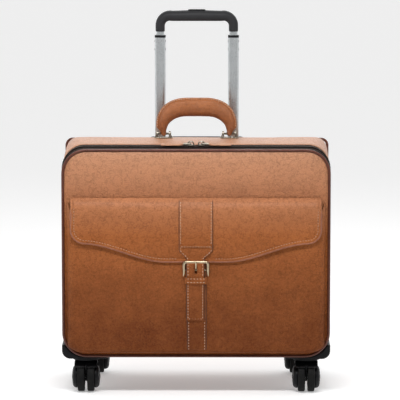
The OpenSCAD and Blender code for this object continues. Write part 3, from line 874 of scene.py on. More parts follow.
def flap_line(inset):
    """A line this far inside the flap's edge, down one side, along the wave and up the other side."""
    line = []
    side_x = flap_half - inset
    turn = flap_corner - inset
    corner_z = flap_edge(flap_half - flap_corner) + flap_corner
    steps = 14
    for i in range(steps + 1):
        line.append((side_x, fold_z - 16 * mm - (fold_z - 16 * mm - corner_z) * i / steps))
    for i in range(1, 9):
        a = math.radians(90 * i / 9)
        line.append((flap_half - flap_corner + turn * math.cos(a), corner_z - turn * math.sin(a)))
    reach = flap_half - flap_corner
    steps = 70
    for i in range(steps + 1):
        x = reach - 2 * reach * i / steps
        line.append((x, flap_edge(x) + inset))
    half_line = line[:len(line) - steps - 1]
    return line + [(-x, z) for x, z in reversed(half_line)]


def flap_surface(x, z):
    """A point on the flap's outer face in front of this place."""
    down = fold_z - z
    centre = 1 - (x / flap_half) ** 2
    soft = 1.6 * mm * math.sin(math.pi * min(down / (100 * mm), 1)) * (0.4 + 0.6 * centre)
    dent = noise.noise(Vector((x * 10, 1, down * 16))) * 0.9 * mm * min(down / (20 * mm), 1)
    return flap_profile(down) - soft - dent


flap_row = [(x, flap_surface(x, z) + 0.15 * mm, z) for x, z in flap_line(stitch_in)]
left_part = [p for p in flap_row if p[0] < -29 * mm]
right_part = [p for p in flap_row if p[0] > 29 * mm]
stitches("flap_stitching", [right_part, left_part], "flap", "tan_leather", r=0.36 * mm)

def tube(path, radii, sides=14, squash=1.0, axis=(0, 1, 0)):
    """Vertices and faces of a closed rod along a path. Squash flattens it along axis."""
    up = Vector(axis)
    angles = [2 * math.pi * k / sides for k in range(sides)]
    loops = []
    for i, (point, r) in enumerate(zip(path, radii)):
        before = Vector(path[max(i - 1, 0)])
        after = Vector(path[min(i + 1, len(path) - 1)])
        side = (after - before).normalized().cross(up).normalized()
        loops.append([Vector(point) + side * (r * math.cos(a)) + up * (r * squash * math.sin(a))
            for a in angles])
    return points_of(loops), capped(loops)


edge_leather = leather("edge_leather", (0.460, 0.170, 0.085), (0.240, 0.075, 0.030), grain=0.7, gloss=0.30,
    shine=0.4)
edge_path = [(x, flap_surface(x, z) + 0.5 * mm, z) for x, z in flap_line(1.9 * mm)]
edge_radii = [2.1 * mm * ease((min(i, len(edge_path) - 1 - i) + 1) / 4) for i in range(len(edge_path))]
edge_verts, edge_faces = tube(edge_path, edge_radii, sides=12)
fit(face_out(add_object("flap_rolled_edge", edge_verts, edge_faces, edge_leather)), "flap", "tan_leather")

# ---- Straps ----
# Four bands of bridle leather with bevelled edges: the wide patch sewn to the flap, the tapered tab
# with its tail, the keeper round the tail, and the band sewn down the pocket behind them.
# The straps take the same painted shade low down and painted highlight near the top.
strap_leather = leather("strap_leather", tan_light, tan_deep, grain=0.8, gloss=0.34, painted_falloff=0.60)
# The straps' cut edges: dark edge dye, made darker still as painted shade for the shadow along each side of a
# strap's thickness.
edge_dye_and_shade = Finish("strap_edge_dye_and_shade")
edge_dye_wear = edge_dye_and_shade.noise(edge_dye_and_shade.place(), 240, 3.0, 0.6)
edge_dye_and_painted_shade = edge_dye_and_shade.shade(
    Base_Color=edge_dye_and_shade.mix(edge_dye_wear, (0.022, 0.007, 0.004), (0.075, 0.024, 0.011)), Roughness=0.38
    + edge_dye_wear * 0.2,
    Normal=edge_dye_and_shade.bump(edge_dye_wear, 0.0003, 0.5))
row_in = 3.0 * mm


def strap_section(half, skin):
    """Across a band, from its back left edge round the front to its back right edge: (x, height)."""
    bevel = min(0.9 * mm, skin * 0.4)
    right = [(half, 0), (half, skin - bevel), (half - bevel * 0.35, skin - bevel * 0.3),
        (half - bevel * 1.2, skin)]
    right += [(half - row_in + 0.7 * mm, skin), (half - row_in, skin - 0.35 * mm),
        (half - row_in - 0.7 * mm, skin)]
    right += [(half * 0.5, skin + 0.25 * mm)]
    left_side = [(-x, h) for x, h in reversed(right)]
    return left_side + right


# The strips of that section which are its cut edges.
edge_strips = (4, 5, 6, 8, 9, 10)
end_draw = 0.45 * mm
end_step = 0.5 * mm


def band(name, stations, body, material, slot, *nodes):
    """A band of leather along Z. Each station is (z, y of its back, half width, thickness, centre x)."""
    loops = []
    for z, y, half, skin, cx in stations:
        loops.append([(cx + x, y - h, z) for x, h in strap_section(half, skin)])
    n = len(loops[0])
    made = add_object(name, points_of(loops), capped(loops), material)
    # The cut edges take the dark edge colour, which is partly painted shade.
    made.data.materials.append(edge_dye_and_painted_shade)
    for k in range((len(loops) - 1) * n):
        if k % n in edge_strips:
            made.data.polygons[k].material_index = 1
    return fit(face_out(made), body, slot, *nodes)


def between(first, last, count):
    """Heights from first up to last, with a short step at each end for a turned edge."""
    middle = [first + (last - first) * i / count for i in range(1, count)]
    return [first, first + end_step] + middle + [last - end_step, last]


def band_ends(heights, half, skin, back, cx=0):
    """Stations of one width, slightly drawn in at both ends."""
    out = []
    for i, z in enumerate(heights):
        drawn = end_draw if i in (0, len(heights) - 1) else 0
        out.append((z, back(z), half - drawn, skin - drawn, cx))
    return out


patch_low, patch_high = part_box("strap_patch")
patch_half = patch_high.x
tab_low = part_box("buckle_strap")[0]
taper_top = patch_low.z
tab_top = taper_top + 6 * mm
taper_end = 231 * mm
tail_half = 15.2 * mm
tail_lean = 1.0 * mm


def patch_back(z):
    return flap_surface(0, z) + 0.5 * mm


patch_skin = 2.3 * mm
patch_stations = band_ends(between(taper_top, fold_z - 4 * mm, 26), patch_half, patch_skin, patch_back)
band("strap_patch_leather", patch_stations, "flap", strap_leather, "tan_leather", "strap_patch")


def tail_back(z):
    """The tab leaves the flap, passes over the buckle's pin bar and falls back below the keeper."""
    over = ease((taper_end + 4 * mm - z) / (12 * mm))
    fall = ease((keeper_low.z + 2 * mm - z) / (16 * mm))
    on_flap = patch_back(z) - patch_skin * ease((z - taper_top - 1 * mm) / (3 * mm))
    return on_flap * (1 - over) + (tab_low.y + 2.4 * mm) * over + 3.0 * mm * fall


def tab_width(z):
    """The tab's half width and its centre, which leans to the left below the taper."""
    widen = ease((z - taper_end) / (taper_top - 2 * mm - taper_end))
    return tail_half + (patch_half - tail_half) * widen, -tail_lean * (1 - widen)


keeper_low, keeper_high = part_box("keeper_loop")
tab_stations = []
tab_skin = 2.2 * mm
for z in between(tab_low.z, tab_top, 64):
    half, centre_x = tab_width(z)
    drawn = end_draw if z in (tab_low.z, tab_top) else 0
    tab_stations.append((z, tail_back(z), half - drawn, tab_skin - drawn, centre_x))
tab = band("strap_tail_leather", tab_stations, "flap", strap_leather, "tan_leather", "buckle_strap")
slot_outline = [(-2 * mm, -0.2), (2 * mm, -0.2), (2 * mm, 0), (-2 * mm, 0)]
cut(tab, cutter("pin_slot", slot_outline, 208 * mm, 221.5 * mm))
shade_smooth(tab)

back_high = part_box("pocket_strap")[1]


def pocket_surface(x, z):
    """Where the pocket's face stands at this place."""
    tall = pocket_high.z - pocket_low.z
    share = min(max((z - pocket_low.z) / (tall - shoulder_drop), 0), 1)
    inside = edge_distance(x, (share - 1) * tall, pocket_half, tall, pocket_r)
    out = pocket_bulge(inside)
    sag = 2.4 * mm * math.sin(math.pi * min(share * 1.1, 1)) * out * (1 - (x / pocket_half) ** 2)
    return front_face - 0.3 * mm - out * (pocket_depth - 0.3 * mm + sag)


def back_strap_back(z):
    return pocket_surface(0, z) + 0.9 * mm


back_half = 16.3 * mm
back_skin = 2.4 * mm
back_x = 1.2 * mm
back_heights = between(pocket_low.z + 1 * mm, back_high.z + 14 * mm, 44)
back_stations = band_ends(back_heights, back_half, back_skin, back_strap_back, back_x)
band("pocket_strap_leather", back_stations, "front_lid", strap_leather, "tan_leather", "pocket_strap")

keeper_skin = 1.8 * mm
keeper_loops = []
keeper_half = keeper_high.x
keeper_front = tail_back(keeper_low.z + 6 * mm) - tab_skin - 0.5 * mm
keeper_back = tail_back(keeper_low.z + 6 * mm) + 0.6 * mm


def keeper_loop(half_x, near_y, far_y, r, lift):
    """One turn of the keeper, this many millimetres above its lower edge."""
    plan = rounded_plan(half_x, (far_y + near_y) / 2, (far_y - near_y) / 2, r, 5)
    keeper_loops.append([(x, y, keeper_low.z + lift * mm) for x, y in plan])


keeper_out = keeper_half - 1.5 * mm
for grow, lift in ((0, 0.7), (0, 1), (-0.15, 2.2), (0, 3.4), (0, 8.6), (-0.15, 9.8), (0, 11), (0, 11.3)):
    near = keeper_front - keeper_skin - grow * mm
    keeper_loop(keeper_out + grow * mm, near, keeper_back + keeper_skin, 2.2 * mm, lift)
for lift in (11, 0.9):
    keeper_loop(keeper_out - keeper_skin, keeper_front, keeper_back, 0.8 * mm, lift)
fit(ring("keeper_leather", keeper_loops, strap_leather), "flap", "tan_leather", "keeper_loop")


def along_z(x, low, high, surface):
    heights = [low + (high - low) * i / 24 for i in range(25)]
    return [(x, surface(z), z) for z in heights]


def across_x(low, high, z, surface):
    return [(low + (high - low) * i / 8, surface(z), z) for i in range(9)]


def patch_face(z):
    return patch_back(z) - patch_skin + 0.2 * mm


def tail_face(z):
    return tail_back(z) - tab_skin + 0.2 * mm


def back_strap_face(z):
    return back_strap_back(z) - 2.2 * mm


patch_row = patch_half - row_in
patch_rows = [along_z(s * patch_row, tab_top + 1 * mm, fold_z - 6 * mm, patch_face) for s in (-1, 1)]
patch_rows.append(across_x(-patch_row, patch_row, tab_top - 2.4 * mm, tail_face))


def taper_side(s):
    """Stitches down one slanting side of the tab."""
    line = []
    for i in range(13):
        z = tab_top - 3 * mm - (tab_top - 3 * mm - taper_end) * i / 12
        half, centre_x = tab_width(z)
        line.append((s * (half - row_in) + centre_x, tail_face(z), z))
    return line


patch_rows += [taper_side(-1), taper_side(1)]
stitches("patch_stitching", patch_rows, "flap", "tan_leather")
tail_row = tail_half - row_in
tail_rows = []
for low, high in ((tab_low.z + row_in, keeper_low.z - 1 * mm),
        (keeper_high.z + 1 * mm, taper_end - 6 * mm)):
    tail_rows += [along_z(s * tail_row - tail_lean, low, high, tail_face) for s in (-1, 1)]
tail_rows.append(across_x(-tail_row - tail_lean, tail_row - tail_lean, tab_low.z + row_in, tail_face))
stitches("tail_stitching", tail_rows, "flap", "tan_leather")
back_row = back_half - row_in
back_rows = []
for s in (-1, 1):
    back_rows.append(along_z(back_x + s * back_row, pocket_low.z + 3 * mm, tab_low.z - 2 * mm,
        back_strap_face))
stitches("pocket_strap_stitching", back_rows, "front_lid", "tan_leather")


def keeper_face(z):
    return keeper_front - keeper_skin + 0.15 * mm


keeper_rows = [across_x(-16 * mm, 16 * mm, keeper_low.z + lift, keeper_face) for lift in (3 * mm, 9 * mm)]
stitches("keeper_stitching", keeper_rows, "flap", "tan_leather")

# ---- Buckle and snap ----
# A cast roller-less buckle in antique pale brass: a rounded top bar, two arms that taper to points
# beside the tail, a bar behind the tail, and the pin that lies over the top bar.


def metal(name, bright, dull, rough):
    """Plated metal, rubbed bright on the high places and dull in the pits."""
    f = Finish(name)
    place = f.place()
    cloud = f.noise(place, 150, 4.0, 0.6)
    scratch = f.noise(f.stretch(place, (1.0, 1.0, 0.12)), 1300, 2.0, 0.6)
    tone = (cloud * 0.9 + scratch * 0.5 - 0.2).clamp()
    return f.shade(
        Base_Color=f.mix(tone, dull, bright), Metallic=1.0, Roughness=rough + (1 - tone) * 0.11
        + scratch * 0.06,
        Normal=f.bump(scratch + cloud * 0.5, 0.00012, 0.5))


antique_brass = metal("antique_brass", (0.76, 0.63, 0.43), (0.18, 0.125, 0.07), 0.22)
frame_low, frame_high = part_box("buckle_frame")


buckle_half = frame_high.x - 2.0 * mm
buckle_y = frame_low.y + 1.7 * mm
arm_r = 2.1 * mm
turn_r = 4 * mm
arm_path = [(-buckle_half - 0.8 * mm, buckle_y, frame_low.z - 0.5 * mm),
    (-buckle_half - 0.7 * mm, buckle_y, frame_low.z + 1 * mm)]
arm_path += [(-buckle_half, buckle_y, frame_low.z + t * mm) for t in (4, 8, 12, 16, 19)]
for i in range(7):
    a = math.radians(180 - 90 * i / 6)
    arm_path.append((-buckle_half + turn_r + turn_r * math.cos(a), buckle_y, frame_high.z - arm_r - turn_r
        + turn_r * math.sin(a)))
arm_radii = [0.5 * mm, 1.0 * mm, 1.45 * mm, 1.75 * mm, 1.95 * mm, arm_r, arm_r] + [arm_r * 1.04] * 7
whole_path = arm_path + [(-x, y, z) for x, y, z in reversed(arm_path)]
whole_radii = arm_radii + list(reversed(arm_radii))
pin_z = 214 * mm
pin_y = frame_high.y - 1.4 * mm
pin_bar = tube([(x * mm, pin_y, pin_z) for x in (-20.5, -10, 10, 20.5)], [1.2 * mm] * 4)
foot_depths = (buckle_y, (buckle_y + pin_y) / 2, pin_y + 1.0 * mm)
foot_radii = [1.6 * mm, 1.5 * mm, 1.3 * mm]
arm_feet = [tube([(s * buckle_half, y, pin_z) for y in foot_depths], foot_radii, axis=(0, 0, 1))
    for s in (-1, 1)]
buckle_parts = [tube(whole_path, whole_radii, squash=0.82), pin_bar] + arm_feet
buckle = join_parts("buckle_frame_brass", buckle_parts, antique_brass)
fit(buckle, "flap", "antique_brass", "buckle_frame")

finger = [(0, pin_y - out * mm, pin_z + up * mm) for out, up in ((1.2, 1.0), (3.0, 3.2))]
finger += [(0, buckle_y - out * mm, pin_z + up * mm)
    for out, up in ((0.6, 6.6), (2.2, 10), (2.9, 13), (2.6, 15.6))]
finger_rod = tube(finger, [1.3 * mm, 1.35 * mm, 1.35 * mm, 1.3 * mm, 1.15 * mm, 0.75 * mm], axis=(1, 0, 0))
collar_path = [(x * mm, pin_y, pin_z) for x in (-1.6, -1.3, 1.3, 1.6)]
collar = tube(collar_path, [1.5 * mm, 1.9 * mm, 1.9 * mm, 1.5 * mm])
fit(join_parts("buckle_pin_brass", [finger_rod, collar], antique_brass), "buckle_pin", "antique_brass",
    "buckle_tongue")
for node in ("snap_socket", "snap_stud"):
    paint(node, antique_brass)

# ---- Zip ----
# Two woven tapes, folded over at the seam, carry a row of moulded teeth each; the rows meet in the
# middle over the top and down both sides.
tape_cloth = Finish("zip_tape")
tape_place = tape_cloth.place()
rib = (tape_cloth.axis(tape_place, "Y") * (2 * math.pi / (0.8 * mm))).sine()
herring = ((tape_cloth.axis(tape_place, "X") + tape_cloth.axis(tape_place,
    "Z")) * (2 * math.pi / (1.1 * mm))).sine()
tape_fuzz = tape_cloth.noise(tape_place, 500, 3.0, 0.6)
tape_tone = (rib * 0.2 + herring * 0.15 + tape_fuzz * 0.7 + 0.1).clamp()
tape_paint = tape_cloth.shade(
    Base_Color=tape_cloth.mix(tape_tone, (0.008, 0.005, 0.004), (0.030, 0.018, 0.014)),
    Roughness=0.85, Specular_IOR_Level=0.12, Normal=tape_cloth.bump(rib * 0.5 + herring * 0.5, 0.0003, 0.6))
teeth_metal = metal("zip_teeth_metal", (0.080, 0.060, 0.050), (0.020, 0.015, 0.012), 0.40)
zip_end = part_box("zip_front")[0].z
zip_corner = 37 * mm
tape_thick = 0.9 * mm


def open_outline(half, high, end, wide=60, tall=36):
    """The zip's way from its right end up, over the top and down to its left end."""
    turn_x = half - zip_corner
    turn_z = high - zip_corner
    corners = [corner_arc(s * turn_x, turn_z, zip_corner, start, 14) for s, start in ((1, 0), (-1, 90))]
    first = (half, end, 1, 0)
    last = (-half, end, -1, 0)
    out = [first] + run(first, corners[0][0], tall) + corners[0]
    out += run(corners[0][-1], corners[1][0], wide) + corners[1]
    return out + run(corners[1][-1], last, tall) + [last]


def tape_row(y, sink):
    """The zip's outline at this depth, sunk below the case's surface."""
    half = case_half - 0.6 * mm - sink
    return [(point[0], y, point[1]) for point in open_outline(half, dome(y) - tape_thick - sink, zip_end)]


def tape(name, depths_and_sinks, body, node):
    """A tape along the zip. Each of its steps is (depth, millimetres below the case's surface)."""
    steps = [(y, sink * mm) for y, sink in depths_and_sinks]
    outer = [tape_row(y, sink) for y, sink in steps]
    inner = [tape_row(y, sink + tape_thick) for y, sink in reversed(steps)]
    return fit(rod(name, list(zip(*(outer + inner))), tape_paint), body, "zip_tape", node)


lid_seam = front_face + 4.6 * mm
beaded_edge = ((1 * mm, 0.9), (4 * mm, 0.8), (9 * mm, 0.5))
front_steps = [(lid_seam, 1.5), (lid_seam + 2 * mm, 0.7)]
front_steps += [(zip_gap_y - away, sink) for away, sink in reversed(beaded_edge)]
rear_steps = [(zip_gap_y + away, sink) for away, sink in beaded_edge]
rear_steps += [(hide_front - 2 * mm, 0.6), (hide_front + 1.5 * mm, 1.6)]
tape("zip_tape_front", front_steps, "front_lid", "zip_front")
tape("zip_tape_rear", rear_steps, "case", "zip_rear")

tooth_pitch = 2.6 * mm
# A tooth's sections: how far past the middle, half width and half height, in millimetres.
tooth_rings = ((-3.2, 0.55, 0.5), (-2.4, 0.62, 0.85), (-0.4, 0.62, 0.95), (0.55, 0.5, 0.7), (0.7, 0.3, 0.4))
tooth_section = ((-1, -1), (1, -1), (1, 0.6), (0.5, 1), (-0.5, 1), (-1, 0.6))


def teeth(name, side, body):
    """A row of teeth: each is a small peg from the tape's beaded edge to just past the middle."""
    path = open_outline(case_half - 0.9 * mm, dome(zip_gap_y) - 1.1 * mm, zip_end + 1 * mm, wide=160,
        tall=90)
    parts = []
    travelled = 0 if side < 0 else tooth_pitch / 2
    last = path[0]
    for here in path[1:]:
        step = math.hypot(here[0] - last[0], here[1] - last[1])
        while travelled <= step:
            t = travelled / step
            x = last[0] + (here[0] - last[0]) * t
            z = last[1] + (here[1] - last[1]) * t
            out = Vector((here[2], 0, here[3])).normalized()
            along = Vector((-out.z, 0, out.x))
            loops = []
            for depth, wide, tall in tooth_rings:
                centre = Vector((x, zip_gap_y + side * depth * mm, z)) + out * 0.35 * mm
                loops.append([centre + along * (a * wide * mm) + out * (b * tall * mm)
                    for a, b in tooth_section])
            parts.append((points_of(loops), capped(loops)))
            travelled += tooth_pitch
        travelled -= step
        last = here
    return fit(join_parts(name, parts, teeth_metal), body, "antique_nickel")


teeth("zip_teeth_front", -1, "front_lid")
teeth("zip_teeth_rear", 1, "case")

# ---- Sliders and pulls ----
# Two cast sliders, nose to nose, each with a wire bail through its bridge and a stitched leather tab.
antique_nickel = metal("antique_nickel", (0.46, 0.42, 0.35), (0.10, 0.085, 0.065), 0.26)


def soften(piece, width):
    """Rounds the piece's edges."""
    edge = piece.modifiers.new("edge", "BEVEL")
    edge.width = width
    edge.segments = 3
    edge.limit_method = "ANGLE"
    edge.angle_limit = math.radians(35)
    return shade_smooth(finish_modifiers(piece))


def block(low, high):
    """A closed box between two corners."""
    xs, ys, zs = zip(low, high)
    verts = [(x, y, z) for z in zs for y in ys for x in xs]
    return verts, [(0, 2, 3, 1), (4, 5, 7, 6), (0, 1, 5, 4), (2, 6, 7, 3), (0, 4, 6, 2), (1, 3, 7, 5)]


# In millimetres: the plate's side from its nose to its tail, and the bridge over it.
plate_side = ((-5.5, 4), (-3.5, 6), (2, 5.6), (5.5, 3.6))
plate_thick = 1.4 * mm
bridge_points = ((-5, 0.9), (-4.6, 4.2), (-2.4, 6.2), (2.4, 6.2), (4.6, 4.2), (5, 0.9))
wire_r = 1.2 * mm
ring_turn = 1.8 * mm
tab_length = 40 * mm
tab_steps = 26
for side, s in (("left", -1), ("right", 1)):
    low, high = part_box("slider_" + side)
    cx = (low.x + high.x) / 2
    cy = (low.y + high.y) / 2
    plate_z = high.z - 5.4 * mm
    plate = [(cx + s * x * mm, cy - y * mm) for x, y in plate_side]
    plate += [(cx + s * x * mm, cy + y * mm) for x, y in reversed(plate_side)]
    rib = block((cx - 3 * mm, cy - 0.5 * mm, low.z + 1 * mm),
        (cx + 3 * mm, cy + 0.5 * mm, plate_z + 0.4 * mm))
    parts = [prism(plate, plate_z, plate_z + plate_thick), prism(plate, low.z, low.z + plate_thick), rib]
    slider = soften(join_parts("slider_body_" + side, parts, antique_nickel), 0.4 * mm)
    bridge_path = [(cx + x * mm, cy, plate_z + z * mm) for x, z in bridge_points]
    bridge_tube = tube(bridge_path, [1.15 * mm] * len(bridge_path), squash=1.3)
    bridge = join_parts("slider_bridge_" + side, [bridge_tube], antique_nickel)
    fit(slider, "zip_slider_" + side, "antique_nickel", "slider_" + side)
    fit(bridge, "zip_slider_" + side, "antique_nickel")

    pivot_z = plate_z + 2.6 * mm
    near = cx - s * 0.1 * mm
    far = cx + s * 13 * mm
    half = 4.2 * mm
    corners = []
    for (bx, by), (dx, dy), (ex, ey) in (((near, cy - half), (0, 1), (s, 0)),
                                         ((far, cy - half), (-s, 0), (0, 1)),
                                         ((far, cy + half), (0, -1), (-s, 0)),
                                         ((near, cy + half), (s, 0), (0, -1))):
        for i in range(6):
            t = math.radians(90 * i / 5)
            first = ring_turn * (1 - math.sin(t))
            then = ring_turn * (1 - math.cos(t))
            corners.append((bx + dx * first + ex * then, by + dy * first + ey * then, pivot_z))
    loops = []
    n = len(corners)
    for i, point in enumerate(corners):
        along = (Vector(corners[(i + 1) % n]) - Vector(corners[i - 1])).normalized()
        across = along.cross(Vector((0, 0, 1)))
        angles = [math.pi * k / 5 for k in range(10)]
        loops.append([
            Vector(point) + across * (wire_r * math.cos(a)) + Vector((0, 0, wire_r * math.sin(a)))
            for a in angles])
    bail = ring("pull_bail_" + side, loops, antique_nickel)
    fit(bail, "zip_pull_" + side, "antique_nickel", "pull_ring_" + side)

    # The tab is folded round the bail's end, and lies along the top's slope.
    tilt = math.atan((dome(cy + 4 * mm) - dome(cy - 4 * mm)) / (8 * mm))
    tab_start = far - s * 2.2 * mm
    loops = []
    for i in range(tab_steps + 1):
        t = i / tab_steps
        x = tab_start + s * tab_length * t
        round_end = math.sqrt(max(0.0, 1 - max(0.0, (t - 0.90) / 0.105) ** 2))
        half_wide = (4.6 + 1.6 * ease(t / 0.22)) * mm * max(round_end, 0.25)
        thick = (1.9 - 0.5 * ease(t / 0.3)) * mm * (0.5 if i in (0, tab_steps) else 1)
        mid_z = pivot_z - 1.5 * mm * ease(t / 0.25)
        loop = []
        for k in range(16):
            a = 2 * math.pi * k / 16
            across = half_wide * math.copysign(abs(math.cos(a)) ** 0.45, math.cos(a))
            lift = thick * math.copysign(abs(math.sin(a)) ** 0.6, math.sin(a))
            y = cy + across * math.cos(tilt) - lift * math.sin(tilt)
            loop.append((x, y, mid_z + across * math.sin(tilt) + lift * math.cos(tilt)))
        loops.append(loop)
    tab_piece = rod("pull_tab_leather_" + side, loops, strap_leather)
    fit(tab_piece, "zip_pull_" + side, "tan_leather", "pull_tab_" + side)
    rows = []
    for across in (-4.3 * mm, 4.3 * mm):
        row_y = cy + across * math.cos(tilt)
        row_z = pivot_z - 0.05 * mm + across * math.sin(tilt)
        rows.append([(tab_start + s * along * mm, row_y, row_z) for along in (12, 20, 28, 35)])
    stitches("pull_stitching_" + side, rows, "zip_pull_" + side, "tan_leather", pitch=3.6 * mm, r=0.34 * mm)

# ---- Carry handle ----
# A padded roll of leather, sewn shut along its outer edge, which narrows to a loop at each end. It
# turns on pins through two cast brackets that are screwed to the top.
handle_hide = leather("handle_leather", (0.450, 0.160, 0.055), (0.220, 0.064, 0.018), grain=0.8,
    gloss=0.25, shine=0.35)
handle_low, handle_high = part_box("carry_handle")
pivot_y = (handle_low.y + handle_high.y) / 2
bracket_low, bracket_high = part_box("handle_bracket_right")
bracket_x = (bracket_low.x + bracket_high.x) / 2
pivot_z = (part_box("handle_pins")[0].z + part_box("handle_pins")[1].z) / 2
# Up from the pin: across, up, and the roll's radius.
handle_stations = [(0, -3.7, 2.0), (0, -2.6, 3.7), (0, 0, 4.5), (0.8, 5, 5.7), (1.2, 10, 7.2),
                   (0.4, 17, 8.6), (-2.5, 24.5, 10.4),
                   (-8, 32, 12.2), (-15.5, 38, 13.3), (-25, 41.8, 13.8), (-35, 43.4, 14.0),
                   (-46, 43.7, 14.0), (-56, 43.7, 14.0)]


def smooth_path(stations, steps):
    """A Catmull-Rom curve through points of any size."""
    out = []
    for i in range(len(stations) - 1):
        p = [stations[max(i - 1, 0)], stations[i], stations[i + 1], stations[min(i + 2, len(stations) - 1)]]
        for s in range(steps):
            t = s / steps
            out.append(tuple(
                0.5 * (2 * b + (c - a) * t + (2 * a - 5 * b + 4 * c - d) * t * t
                + (3 * b - a - 3 * c + d) * t ** 3)
                for a, b, c, d in zip(*p)))
    return out + [stations[-1]]


def across_path(path, i):
    """The direction square to a path in X and Z at this point, on its outer side."""
    before = path[max(i - 1, 0)]
    after = path[min(i + 1, len(path) - 1)]
    along = Vector((after[0] - before[0], 0, after[1] - before[1])).normalized()
    return Vector((along.z, 0, -along.x))


half_path = [(bracket_x + x * mm, pivot_z + z * mm, r * mm) for x, z, r in smooth_path(handle_stations, 5)]
handle_path = half_path + [(-x, z, r) for x, z, r in reversed(half_path[:-1])]
fin = 4.0 * mm
fin_half = 1.7 * mm
fin_up = fin / mm
# Round the sewn fin: up from the roll in millimetres, and share of its half width.
fin_section = ((0.7, -1.15), (1.6, -1.0), (fin_up - 0.6, -0.95), (fin_up, -0.55), (fin_up, 0.55),
               (fin_up - 0.6, 0.95),
               (1.6, 1.0), (0.7, 1.15))
turns = 30
handle_loops = []
fin_rows = [[], []]
for i, (x, z, r) in enumerate(handle_path):
    out = across_path(handle_path, i)
    show = ease((z - pivot_z - 5 * mm) / (7 * mm))
    start = math.asin(min(0.9, (fin_half + 0.9 * mm) / r))
    loop = []
    centre = Vector((x, pivot_y, z))
    for k in range(turns + 1):
        a = start + (2 * math.pi - 2 * start) * k / turns
        crease = 0.35 * mm * noise.noise(Vector((i * 0.25, math.cos(a) * 2, math.sin(a) * 2)))
        crease *= 1 if r > 9 * mm else 0.4
        loop.append(centre + out * (math.cos(a) * (r + crease))
            + Vector((0, math.sin(a) * (r * 0.96 + crease), 0)))
    top = math.cos(start) * r
    for up, side in fin_section:
        loop.append(centre + out * (top + up * mm * show)
            + Vector((0, side * fin_half * (0.5 + 0.5 * show), 0)))
    handle_loops.append(loop)
    if show > 0.95:
        for row, side in zip(fin_rows, (-1, 1)):
            row.append(centre + out * (top + 2.3 * mm) + Vector((0, side * (fin_half + 0.05 * mm), 0)))
handle_roll = rod("carry_handle_leather", handle_loops, handle_hide)
fit(handle_roll, "top_handle", "handle_leather", "carry_handle")
stitches("handle_stitching", fin_rows, "top_handle", "handle_leather", pitch=4.2 * mm)

# In millimetres: the foot's plan, a post's side with its round top, and the brace outside a post.
foot_plan = ((-15.5, -5), (-13, -7), (13, -7), (15.5, -5), (15.5, 5), (13, 7), (-13, 7), (-15.5, 5))
post_turn = [math.radians(a) for a in range(0, 181, 20)]
post_side = [(-5.2, 0.6), (5.2, 0.6), (4.6, 4.5)]
post_side += [(4.6 * math.cos(a), 7.3 + 4.7 * math.sin(a)) for a in post_turn] + [(-4.6, 4.5)]
brace_side = ((12.4, 1.4), (15.3, 1.4), (12.4, 6))
brace_faces = [(0, 1, 2), (5, 4, 3), (0, 3, 4, 1), (1, 4, 5, 2), (2, 5, 3, 0)]
post_x = 10.6 * mm
post_thick = 3.2 * mm
brace_half = 1.2 * mm
for side, s in (("left", -1), ("right", 1)):
    cx = s * bracket_x
    base_z = bracket_low.z
    foot = [(cx + x * mm, pivot_y + y * mm) for x, y in foot_plan]
    parts = [prism(foot, base_z, base_z + 1.9 * mm)]
    for p in (-1, 1):
        near = cx + p * post_x - post_thick / 2
        k = len(post_side)
        verts = [(x, pivot_y + y * mm, base_z + z * mm) for x in (near, near + post_thick)
            for y, z in post_side]
        faces = [tuple(range(k)), tuple(reversed(range(k, 2 * k)))]
        faces += [(i, k + i, k + (i + 1) % k, (i + 1) % k) for i in range(k)]
        parts.append((verts, faces))
        brace = [(cx + p * x * mm, base_z + z * mm) for x, z in brace_side]
        verts = [(x, y, z) for y in (pivot_y - brace_half, pivot_y + brace_half) for x, z in brace]
        parts.append((verts, brace_faces))
    bracket = soften(join_parts("handle_bracket_metal_" + side, parts, antique_nickel), 0.45 * mm)
    fit(bracket, "case", "antique_nickel", "handle_bracket_" + side)
# Half of a pin, in millimetres from its middle to its end: (x, radius).
pin_half = ((12.25, 1.8), (12.3, 2.7), (12.8, 2.3), (13.0, 1.4))
pin_stations = [(-x, r) for x, r in reversed(pin_half)] + list(pin_half)
pin_parts = []
for s in (-1, 1):
    pin_path = [(s * bracket_x + x * mm, pivot_y, pivot_z) for x, r in pin_stations]
    pin_parts.append(tube(pin_path, [r * mm for x, r in pin_stations], sides=20))
fit(join_parts("handle_pin_metal", pin_parts, antique_nickel), "case", "antique_nickel", "handle_pins")

# ---- Trolley handle ----
# Two stages of drawn alloy tube slide in a moulded bezel behind the top. Black end stops guide the
# inner stage, spring latches show as dark dots, and the grip carries the release button.

alloy = Finish("tube_alloy")
alloy_place = alloy.place()
draw_lines = alloy.noise(alloy.stretch(alloy_place, (1.0, 1.0, 0.02)), 2400, 2.0, 0.5)
smear = alloy.noise(alloy_place, 60, 3.0, 0.6)
alloy_tone = (draw_lines * 0.6 + smear * 0.5 - 0.05).clamp()
tube_paint = alloy.shade(
    Base_Color=alloy.mix(alloy_tone, (0.40, 0.42, 0.43), (0.66, 0.68, 0.69)), Metallic=1.0,
    Roughness=0.20 + draw_lines * 0.10 + smear * 0.06, Normal=alloy.bump(draw_lines, 0.00008, 0.5))


def moulded(name, base, edge, rough, grain):
    """Injection-moulded plastic with a fine spark texture, slightly polished where it is handled."""
    f = Finish(name)
    place = f.place()
    spark = f.noise(place, grain, 3.0, 0.65)
    wear = f.noise(place, 45, 3.0, 0.55)
    return f.shade(
        Base_Color=f.mix((spark * 0.5 + wear * 0.5).clamp(), base, edge), Specular_IOR_Level=0.15,
        Roughness=rough + spark * 0.12 - wear * 0.08, Normal=f.bump(spark, 0.00018, 0.5))


